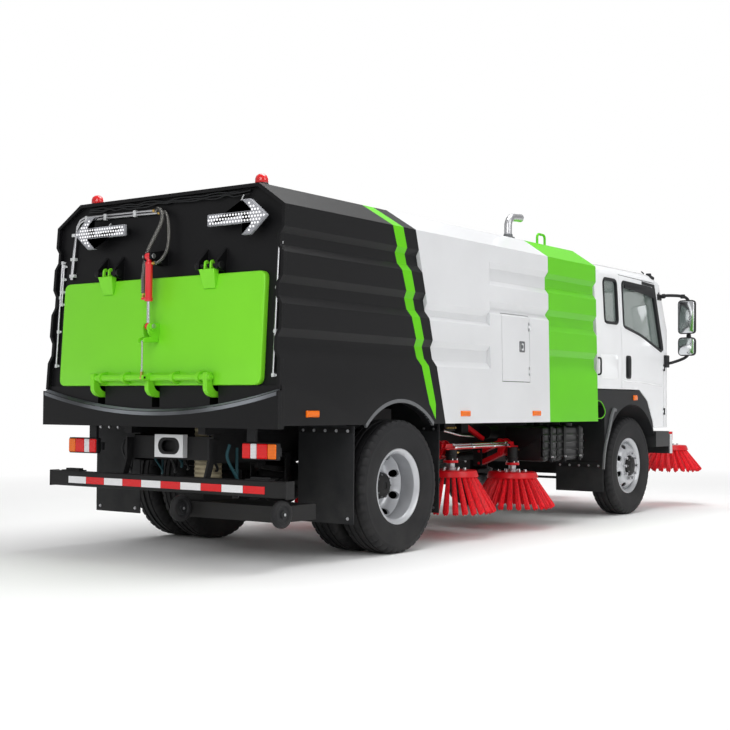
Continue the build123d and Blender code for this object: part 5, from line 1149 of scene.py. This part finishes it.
# side, x, inner and outer edge, low and top edge
FLAPS = ((1, -900, 690, 1190, 262, 1159), (-1, -595, 674, 1190, 262, 1159), (1, 665, 640, 1111, 262, 1159),
    (-1, 665, 640, 1111, 262, 1159), (1, 3811.7, 520, 1050, 267, 560), (-1, 3811.7, 520, 1050, 267, 560))
SKIRT_ROOM_Z, SKIRT_ROOM_Y = 975, 1111
form, strips, flap_bolts = Form(), Form(), []
for side, x, inner, outer, low, top in FLAPS:
    heights = [low + (top - low) * i / 14 for i in range(15)]
    if outer > SKIRT_ROOM_Y:
        heights = sorted(heights + [SKIRT_ROOM_Z, SKIRT_ROOM_Z + 1])
    rings = []
    for z in heights:
        sag = 6 * sin(pi * min(1, (z - low) / 500)) if z < low + 500 else 0
        edge = min(outer, SKIRT_ROOM_Y) if z > SKIRT_ROOM_Z else outer
        rings.append([(x - 11 - sag * 0.2, side * inner, z), (x - 11 - sag, side * (inner + edge) / 2, z),
            (x - 11 - sag * 0.2, side * edge, z), (x - 1 - sag * 0.2, side * edge, z),
            (x - 1 - sag, side * (inner + edge) / 2, z), (x - 1 - sag * 0.2, side * inner, z)])
    form.skin(rings)
    bar_z = 940 if top > 600 else top - 30
    strips.block((x - 17, x - 11), (side * (inner + 12), side * (outer - 12)), (bar_z - 18, bar_z + 18))
    for i in range(5):
        y = side * (inner + 50 + (outer - inner - 100) * i / 4)
        flap_bolts.append(((x - 17, y, bar_z), (-1, 0, 0)))
        if top > 600 and i in (0, 4):
            flap_bolts.append(((x - 12, y, low + 40), (-1, 0, 0)))
form.make("flap_sheets", "flap", stands_for=("mud_flaps",), sharp=40)
strips.make("flap_strips", "frame", bevel=1)
scattered("flap_bolts", bolt(9, 9), flap_bolts, "steel")

# ---- Cab -----------------------------------------------------------------------------------------


def parts(node, choose):
    """A CAD node's separate solids, each with the (finish, slot) a rule picks by its low corner."""
    source = merged_copy(node)
    source.faces.ensure_lookup_table()
    seen, kinds = set(), {}
    for face in source.faces:
        if face.index in seen:
            continue
        island, stack = [], [face]
        seen.add(face.index)
        while stack:
            here = stack.pop()
            island.append(here)
            for other in (other for edge in here.edges for other in edge.link_faces):
                if other.index not in seen:
                    seen.add(other.index)
                    stack.append(other)
        corners = [v.co / MM for f in island for v in f.verts]
        low = Vector([min(p[i] for p in corners) for i in range(3)]) - Vector((REAR_AXLE_X / MM, 0, 0))
        kinds.setdefault(choose(low), set()).update(f.index for f in island)
    stands = (node,)
    for (finish, slot), chosen in kinds.items():
        work = source.copy()
        bmesh.ops.delete(work, geom=[f for f in work.faces if f.index not in chosen], context="FACES")
        dress(f"{node}_{finish}", work, node, slot, finish, stands)
        stands = ()
    source.free()


CAB_HALF_WIDTH, NOSE_X, BELT_Z = 1060, 5490, 1750


def cab_y(z):
    """Half width of the cab at a height; it narrows above the belt line."""
    return CAB_HALF_WIDTH - max(0, z - BELT_Z) * 45 / 840


def nose_x(z):
    """The windscreen's plane at a height."""
    return NOSE_X - (z - BELT_Z) * 228 / 720


def on_screen(point, out):
    """A (y, z) point on the windscreen, some way out of it."""
    return (nose_x(point[1]) + out, *point)


WINDOW = ((4290, 1965), (4385, 1949), (4715, 1890), (5240, 1735), (5235, 1790), (5085, 2425), (4320, 2440),
    (4290, 2410))
QUARTER = ((3843, 1985), (4160, 1985), (4160, 2440), (3880, 2440), (3843, 2400))
RUBBER = ((-3, -12), (4, -12), (9, -6), (9, 10), (5, 17), (-18, 19), (-18, 8))
CREASE = ((-3, -15), (5, -9), (6.5, 0), (2, 12), (-3, 15))      # out, height
CREASE_LINE = ((4262, 1402), (4700, 1396), (5255, 1362))        # x, z
for side_name, s in SIDES:
    node = f"door_{side_name}"
    door, cab = BODY[node], BODY["cab_shell"]

    def on_side(point, out):
        return (point[0], s * (cab_y(point[1]) + out), point[1])

    parts(node, lambda low: ("glass", "window_glass") if low.z > 1700 else ("cab", "white_paint"))
    Form().band(rounded(WINDOW, 70, 6), on_side, RUBBER).make(door + "_window_rubber", "trim", door, sharp=40)
    pillar = rounded(((5226, 1738), (5284, 1752), (5284, 1792), (5128, 2468), (4800, 2482), (4800, 2446),
        (5074, 2440), (5090, 2418), (5232, 1792)), 8, 2)
    Form().stack(pillar, on_side, ((-3, 0), (3, 0), (5, 2))).make(door + "_pillar_trim", "trim", door,
        slot="black_plastic", sharp=40)
    guard = rounded(((4330, 2428), (4330, 2375), (4700, 2352), (5060, 2318), (5108, 2318), (5082, 2428)), 20, 3)
    Form().stack(guard, on_side, ((4, 0), (14, 2), (17, 7))).make(door + "_rain_guard", "trim", door,
        slot="black_plastic", sharp=40)
    dish = oblong((4322, 4448), (1422, 1664), 34, 6)
    form = Form().band(dish, on_side, ((-4, 0), (3, 0), (5, 4), (3, 10), (-4, 14)))
    form.stack(dish, on_side, ((-3, 8), (0.8, 8), (1, 10)))
    pull = oblong((4352, 4418), (1440, 1646), 28, 6)
    form.stack(pull, on_side, ((-2, 0), (15, 0), (21, 5), (23, 14)))
    form.make(door + "_handle", "plastic", door, sharp=40)
    form = Form().skin([[on_side((x, z + h), out) for out, h in CREASE] for x, z in CREASE_LINE])
    form.make(door + "_crease", "cab", door, bevel=2, sharp=60)
    form = Form()
    for z in (1080, 1560):
        form.bar((5294, s * 1070, (z - 36, z + 36)), 9.5, sides=20)
    form.make(door + "_hinge_caps", "trim", door, slot="white_paint")

    form = Form().band(rounded(QUARTER, 60, 6), on_side, RUBBER)
    form.make(f"quarter_rubber_{side_name}", "trim", cab, sharp=40)
    form = Form().block((5306, 5402), (s * 1030, s * 1088), (1566, 1702))
    form.block((5196, 5296), (s * 985, s * 1044), (2306, 2372))
    form.bar((5246, s * 1010, (2362, 2396)), 22)
    form.bar((5270, (s * 1052, s * 1092), 2352), 26)
    form.make(f"mirror_brackets_{side_name}", "plastic", cab, bevel=9, steps=3)
    arm = smooth_path(((5262, s * 1030, 2350), (5330, s * 1110, 2362), (5420, s * 1235, 2352),
        (5450, s * 1288, 2300), (5450, s * 1290, 2180)), 6)
    low_arm = smooth_path(((5378, s * 1062, 1612), (5400, s * 1120, 1622), (5436, s * 1240, 1668),
        (5450, s * 1288, 1720), (5450, s * 1290, 1800)), 6)
    form = Form().tube(arm, 17, 16).tube(low_arm, 16, 16)
    form.bar((5450, s * 1290, (1720, 2200)), 16)
    for x, y, z in ((5420, s * 1235, 2352), (5450, s * 1290, 1914)):
        form.bar((x, y, (z - 22, z + 22)), 27, 24)
    form.make(f"mirror_arms_{side_name}", "plastic", cab, stands_for=("mirrors",) if s > 0 else (), bevel=2,
        sharp=50)
    heads, mirrors = Form(), Form()
    for low, high, radius in ((1934, 2308, 46), (1692, 1898, 52)):
        face = oblong((s * 1192, s * 1392), (low, high), radius, 7)
        heads.stack(face, forward_of(5376), ((4, 12), (1, 8), (0, 3), (8, 0), (40, 2), (66, 14), (82, 38),
            (87, 62)))
        mirrors.stack(face, forward_of(5377), ((6, 13), (1, 13), (0, 16)))
    heads.make(f"mirror_heads_{side_name}", "plastic", cab, sharp=40)
    mirrors.make(f"mirror_faces_{side_name}", "mirror", cab, sharp=30)

shell = BODY["cab_shell"]
form = Form().band(rounded(((-866, 1838), (866, 1838), (846, 2434), (-846, 2434)), 60, 6), on_screen,
    ((-4, -14), (4, -14), (7, -8), (7, 14), (-18, 16)))
form.band(oblong((-396, 396), (1954, 2296), 40, 6), rearward(3640),
    ((-3, -14), (5, -14), (7, -8), (7, 10), (-16, 14)))
form.make("screen_rubbers", "trim", shell, sharp=40)
form = Form()
for base, tip in ((-620, -60), (60, 640)):
    ends = [(nose_x(z) + 14, y, z) for y, z in ((base, 1806), ((base + tip) / 2, 1900), (tip, 1960))]
    form.tube([(nose_x(1790) + 4, base, 1790), ends[0], ends[1]], 8, 12)
    form.rod(ends[0], ends[2], 6, 4)
    form.bar(((nose_x(1790) - 8, nose_x(1790) + 18), base, 1790), 20)
form.make("wipers", "trim", shell, slot="black_plastic", bevel=1)
form = Form().bar((5118, -962, (2520, 2574)), 13)
form.bar((5118, -962, (2566, 2596)), 34, 28, sides=28)
form.rod((5080, -985, 2556), (5150, -1000, 2540), 24, 20, sides=24)
form.rod((5040, -940, 2588), (4980, -940, 2606), 7)
form.make("roof_camera", "plastic", shell, bevel=4, steps=3)
form = Form().stack(oblong((560, 900), (650, 800), 40), forward_of(5540), ((-6, 4), (6, 0), (13, 8), (16, 26)))
form.mirrored().make("headlamps", "clear_lens", BODY["front_bumper"], sharp=40)
form = Form().stack(oblong((-240, 240), (660, 770), 8), forward_of(5541), ((-4, 0), (2, 0), (3, 1)))
form.make("front_plate_place", "pale", BODY["front_bumper"], slot="white_paint", sharp=40)
form = Form().skin([[(x, 1055 + d, z) for x, z in oblong((4500 + w, 4592 - w), (1196 + w, 1252 - w), 14)]
    for d, w in ((0, 0), (12, 0), (20, 8))])
form.mirrored().make("fender_lamps", "amber_lens", BODY["front_fenders"], sharp=40)

# ---- Inside the cab ------------------------------------------------------------------------------


def cushion(form, outline, put, thick, seam):
    """A crowned pad: its outline swells from a flat back over a piped seam to a full face."""
    layers = [(0, 16), (thick * 0.1, 5), (thick * 0.3, 0), (seam - 4, 0), (seam, 3.5), (seam + 4, 0),
        (thick * 0.78, 6), (thick * 0.92, 22), (thick, 52), (thick + 7, 92), (thick + 10, 130)]
    return form.stack(outline, put, layers)


def leaning(point, depth):
    """Puts a (y, height) point on the leaning back of the seats, some way before it."""
    return (4262 - 0.22 * point[1] + 0.976 * depth, point[0], 1650 + 0.976 * point[1] + 0.22 * depth)


for side_name, s in SIDES:
    form = Form()
    flat = oblong((4345, 4755), (s * 292, s * 788), 70, 8)
    cushion(form, flat, lambda p, d: (p[0], p[1], 1562 + (p[0] - 4345) * 0.02 + d), 96, 46)
    stands = ("cab_interior",) if s > 0 else ()
    form.make(f"seat_cushion_{side_name}", "fabric", BODY["cab_interior"], stands_for=stands, sharp=60)
    for part_name, start, height, half, thick in (("back", 0, 585, 240, 92), ("headrest", 600, 135, 130, 70)):
        outline = oblong((s * 540 - half, s * 540 + half), (start, start + height), min(half, height) * 0.4, 8)
        form = cushion(Form(), outline, leaning, thick, thick * 0.5)
        obj = form.make(f"seat_{part_name}_{side_name}", "fabric", BODY["cab_interior"], sharp=60)
form = Form()
for s in (1, -1):
    form.block((4340, 4660), (s * 350, s * 730), (1355, 1566))
    form.block((4190, 4262), (s * 420, s * 660), (1600, 2120))
    for y in (480, 600):
        form.rod((4150, s * y, 2120), (4120, s * y, 2262), 8)
form.make("seat_bases", "trim", BODY["cab_interior"], slot="seat_fabric", bevel=6)
DASHBOARD = ((5170, 1226), (5278, 1226), (5398, 1738), (5330, 1772), (5200, 1788), (5100, 1752), (5062, 1700),
    (5082, 1560))
Form().plate(DASHBOARD, 0, 958).make("dashboard", "dash", BODY["cab_interior"], bevel=18, steps=4)
form = Form().block((5062, 5082), (-250, 200), (1590, 1700))
form.block((5090, 5112), (380, 700), (1745, 1800))
for y in (-700, -560, 860):
    form.bar(((5058, 5090), y, 1672), 42, sides=24)
form.make("dash_fittings", "trim", BODY["cab_interior"], slot="seat_fabric", bevel=5)
form = Form()
centre, foot = Vector((4985, 540, 1790)), Vector((5150, 540, 1620))
axis = (centre - foot).normalized()
across, upward = Vector((0, 1, 0)), axis.cross(Vector((0, 1, 0)))
WHEEL_RADIUS, GRIP = 215, 14
rows = []
for out in (across * cos(a) + upward * sin(a) for a in turns(48)):
    rows.append([centre + out * WHEEL_RADIUS + (out * cos(b) + axis * sin(b)) * GRIP for b in turns(14)])
form.skin(rows + rows[:1], caps=False)
for a in (0.35, pi - 0.35, -pi / 2):
    form.rod(centre + axis * -6, centre + (across * cos(a) + upward * sin(a)) * 210, 14, 9)
form.rod(foot, centre, 24).rod(centre - axis * 14, centre + axis * 12, 52, 44, sides=32)
form.make("steering_wheel", "trim", BODY["cab_interior"], slot="seat_fabric", sharp=50)

# ---- Fuel tanks, casters, suction hose -----------------------------------------------------------

form, straps, strap_bolts = Form(), Form(), []
section = [(640, 612), (1020, 612), (1046, 628)]
section += [(1046 + 11 * max(0, sin(i * pi / 4.5)) ** 2, 640 + 7.5 * i) for i in range(37)]
section += [(1042, 924), (1018, 938), (650, 938), (626, 920), (626, 632)]
for near, far in ((2832, 3378), (2552, 2816)):
    ends = [(near, 26), (near + 4, 10), (near + 16, 2), (near + 30, 0), (far - 30, 0), (far - 16, 2),
        (far - 4, 10), (far, 26)]
    form.stack(section, forward_of(0), ends)
band = rounded([(620, 606), (1054, 606), (1062, 614), (1062, 936), (1054, 942), (620, 942)], 6, 2)
for x in (2684, 2950, 3260):
    straps.band(band, forward_of(x), ((-22, 0), (22, 0), (22, 7), (-22, 7)))
    straps.bar((x, 1058, (690, 620)), 8)
    straps.block((x - 14, x + 14), (1040, 1070), (606, 640))
    strap_bolts.append(((x, 1060, 655), (0, 1, 0)))
    strap_bolts.append(((x, -1060, 655), (0, -1, 0)))
form.bar((3180, 960, (930, 968)), 52, sides=32)
form.mirrored().make("fuel_tanks", "tank", stands_for=("side_tanks",), sharp=30)
straps.mirrored().make("tank_straps", "frame", bevel=1)
scattered("tank_strap_bolts", bolt(10, 14), strap_bolts, "steel")

CASTER_TYRE = ((60, 22), (72, 25), (84, 24), (92, 18), (95, 8))      # radius, half width
CASTER_HUB = ((14, 27), (26, 27), (30, 14), (52, 12), (61, 20))
for body, x, y, z in (("caster_right", -1390, -1168, 385), ("caster_left", -1430, -265, 385)):
    tyre_outline, hub_outline = ([(r, -w) for r, w in half] + list(reversed(half))
        for half in (CASTER_TYRE, CASTER_HUB))
    form = Form().turn(tyre_outline, (x, y, z), "y", 56)
    form.make(body + "_tyre", "tyre", body, slot="rubber", stands_for=(body,), sharp=40)
    form = Form().turn(hub_outline, (x, y, z), "y", 48)
    form.bar((x, (y - 30, y + 30), z), 15, sides=24)
    form.make(body + "_hub", "plastic", body, slot="grey_paint", sharp=30)
    Form().bar((x, (y - 34, y + 34), z), 11, sides=6).make(body + "_nut", "steel", body, bevel=1)

x, y, rings = -1080, -200, range(120)
ribs = [101 + 3 * sin(i * pi / 2.5) for i in rings]
form = Form().tube([(x, y, 382 + 6.5 * i) for i in rings], 104, 40, ribs)
form.make("hose_ribs", "ribbed", BODY["suction_hose"], stands_for=("suction_hose",), sharp=60)
form = Form()
for z in (1120, 470):
    form.bar((x, y, (z - 14, z + 14)), 106, sides=48)
    form.block((x - 12, x + 12), (y - 118, y - 100), (z - 10, z + 10))
form.make("hose_clamps", "steel", BODY["suction_hose"], slot="hose_plastic", bevel=1)

# ---- Carrier of the middle brushes ---------------------------------------------------------------

for side_name, s in SIDES:
    body = BODY[f"brush_frame_{side_name}"]
    red, rods, studs, brass, dark = (Form() for _ in range(5))
    red.block((1240, 2490), (s * 752, s * 764), (746, 796))
    for _, x, _, top in MIDDLE_BRUSHES:
        y = s * BRUSH_Y
        red.block((x - 88, x + 88), (s * 754, s * 811), (747, 760))
        red.slab(rounded(((x - 70, 756), (x + 70, 756), (x + 50, 798), (x - 50, 798)), 14), "y",
            (s * 770, s * 782))
        cheek = rounded(((674, 664), (720, 664), (757, 750), (757, 798), (720, 826), (674, 826)), 16)
        for e in (-50, 50):
            red.slab([(s * b, z) for b, z in cheek], "x", (x + e - 8, x + e + 8))
        red.bar((x, y, (top + 61, top + 84)), 64, sides=40)
        dark.bar((x, y, (top + 84, 748)), 47, sides=36).bar((x, y, (top + 120, top + 136)), 54, sides=36)
        dark.block((x + 34, x + 64), (s * 776, s * 824), (700, 742))
        for a in turns(4):
            studs.bar((x + 52 * cos(a + 0.8), y + 52 * sin(a + 0.8), (top + 80, top + 98)), 8, sides=6)
        for b in (786, 812):
            brass.bar(((x + 60, x + 84), s * b, 722), 9, sides=6).bar(((x + 80, x + 104), s * b, 722), 7)
    for y, z in ((775, 786), (800, 768)):
        rods.bar(((1398, 2334), s * y, z), 9)
        for x in (1398, 1700, 2060, 2320):
            rods.bar(((x - 18, x + 18), s * y, z), 15, sides=6)
    red.make(f"carrier_red_{side_name}", "red", body, stands_for=(f"brush_frame_{side_name}",), bevel=3)
    dark.make(f"carrier_motors_{side_name}", "frame", body, slot="red_paint", bevel=3)
    rods.make(f"carrier_rods_{side_name}", "chrome", body, bevel=1)
    studs.make(f"carrier_studs_{side_name}", "chrome", body, bevel=1)
    brass.make(f"carrier_fittings_{side_name}", "brass", body, bevel=1)

# ---- Struts, valves and hoses behind the middle brushes ------------------------------------------

dark, red, chrome, brass = (Form() for _ in range(4))
for s in (1, -1):
    red.tube([(1250, s * 500, 940), (1560, s * 520, 800)], 26, 4)
    red.tube([(2060, s * 500, 940), (2330, s * 520, 820)], 26, 4)
    chrome.rod((1580, s * 560, 905), (1820, s * 590, 860), 11)
    chrome.rod((1820, s * 590, 860), (2040, s * 600, 845), 7)
    dark.block((1600, 1780), (s * 440, s * 560), (900, 980))
    dark.block((1920, 2040), (s * 440, s * 540), (880, 970))
    dark.bar(((2460, 2640), s * 470, 880), 62, sides=28)
    for i in range(4):
        brass.bar((1620 + 42 * i, (s * 562, s * 588), 930), 9, sides=6)
red.make("middle_struts", "red", bevel=2)
dark.make("middle_valves", "frame", bevel=3)
chrome.make("middle_rods", "chrome", bevel=1)
brass.make("middle_fittings", "brass", bevel=1)

# y, lowest and highest point, how far it hangs forward
REAR_HOSES = ((-30, 640, 880, 60), (20, 660, 900, 45), (70, 620, 870, 30), (250, 600, 860, 70),
    (-330, 640, 900, 50), (-520, 560, 840, 60), (560, 600, 860, 40))
for number, (y, low, high, reach) in enumerate(REAR_HOSES):
    route = ((-1200, y, high), (-1210, y + 12, (high + low) / 2 + 40), (-1190 + reach, y - 14, low + 30),
        (-1150 + reach, y + 30, low), (-1080 + reach, y + 90, low + 36), (-1000, y + 110, high - 30))
    follow_tube(f"rear_hose_{number}", route, 8 + number % 3 * 2, 10, "teal" if number % 2 else "trim", step=6)

# ---- Small fittings round the cab ----------------------------------------------------------------

struts, loops, hatches, grips = Form(), Form(), Form(), Form()
for s in (1, -1):
    bent = ((4060, 1106), (4000, 1118), (3938, 1040), (3880, 900), (3800, 740), (3772, 640), (3752, 500),
        (3776, 500), (3800, 640), (3832, 738), (3912, 890), (3972, 1020), (4010, 1084), (4052, 1078))
    struts.slab(list(bent), "y", (s * 1061, s * 1082))
    loops.tube(smooth_path(((3560, s * 1090, 1190), (3640, s * 1108, 1172), (3735, s * 1104, 1080),
        (3700, s * 1090, 1018), (3590, s * 1070, 1010)), 6), 5, 8)
    hatch = oblong((3728, 4132), (1412, 1662), 22, 5)
    hatches.stack(hatch, lambda p, d: (p[0], s * (CAB_HALF_WIDTH + d), p[1]), ((-3, 0), (1.5, 0), (3, 3)))
    grips.tube(smooth_path(((3668, s * 1058, 1450), (3662, s * 1092, 1462), (3660, s * 1096, 1535),
        (3662, s * 1092, 1608), (3668, s * 1058, 1620)), 5), 9, 12)
struts.make("fender_struts", "grey", BODY["front_fenders"], slot="black_plastic", bevel=3)
loops.make("wire_loops", "lime", sharp=60)
hatches.make("service_hatches", "cab", BODY["cab_shell"], sharp=40)
grips.make("cab_rear_grips", "plastic", BODY["cab_shell"], sharp=60)

# ---- Floor and light -----------------------------------------------------------------------------

FADE_START, FADE_LENGTH, FADE_STRETCH = 4.2, 5.5, 0.64


def floor_finish():
    """A pale floor that turns plain white some way off and keeps the shadow near the truck."""
    f = Finish("floor_white")
    tint = f.noise(0.4, 2)
    away = (f.x * f.x * FADE_STRETCH + f.y * f.y) ** 0.5
    far = ((away - FADE_START) / FADE_LENGTH).clamp()
    glow = f.tree.nodes.new("ShaderNodeEmission")
    glow.inputs["Strength"].default_value = 1
    rays = f.tree.nodes.new("ShaderNodeLightPath")
    seen = (Value(f, rays.outputs["Is Camera Ray"]) + Value(f, rays.outputs["Is Glossy Ray"])).clamp()
    mix = f.tree.nodes.new("ShaderNodeMixShader")
    f.tree.links.new((far * seen).socket, mix.inputs[0])
    f.tree.links.new(f.shader.outputs[0], mix.inputs[1])
    f.tree.links.new(glow.outputs[0], mix.inputs[2])
    f.tree.links.new(mix.outputs[0], f.tree.nodes["Material Output"].inputs["Surface"])
    return f.done(Base_Color=f.blend(srgb(238, 238, 238), srgb(244, 244, 244), tint), Roughness=0.9)


floor = bpy.data.meshes.new("floor")
floor.from_pydata([(-60, -60, 0), (60, -60, 0), (60, 60, 0), (-60, 60, 0)], [], [(0, 1, 2, 3)])
floor = bpy.data.objects.new("floor", floor)
scene.collection.objects.link(floor)
floor.data.materials.append(floor_finish())

world = bpy.data.worlds.new("studio")
scene.world = world
world.use_nodes = True
tree = world.node_tree
ambient = tree.nodes["Background"]
ambient.inputs["Color"].default_value = (1, 1, 1, 1)
ambient.inputs["Strength"].default_value = 0.46
backdrop = tree.nodes.new("ShaderNodeBackground")
backdrop.inputs["Color"].default_value = (1, 1, 1, 1)
rays, mix = tree.nodes.new("ShaderNodeLightPath"), tree.nodes.new("ShaderNodeMixShader")
tree.links.new(rays.outputs["Is Camera Ray"], mix.inputs[0])
tree.links.new(ambient.outputs[0], mix.inputs[1])
tree.links.new(backdrop.outputs[0], mix.inputs[2])
tree.links.new(mix.outputs[0], tree.nodes["World Output"].inputs["Surface"])


def lamp(name, spot, aim, power, size):
    """A soft square light that faces a point."""
    light = bpy.data.lights.new(name, "AREA")
    light.energy, light.size = power, size
    obj = bpy.data.objects.new(name, light)
    scene.collection.objects.link(obj)
    turn = (Vector(aim) - Vector(spot)).to_track_quat("-Z", "Y").to_matrix().to_4x4()
    obj.matrix_world = Matrix.Translation(spot) @ turn


lamp("top", (0, -1, 10), (0, 0, 0), 800, 6)
lamp("behind", (-12, -4, 6), (-2, 0, 1.4), 420, 6)
lamp("side", (-1, -13, 7), (0, 0, 1.2), 430, 7)
lamp("front", (10, 8, 6), (2, 0, 1.4), 350, 6)

scene.view_settings.view_transform = "Standard"
bpy.context.view_layer.update()
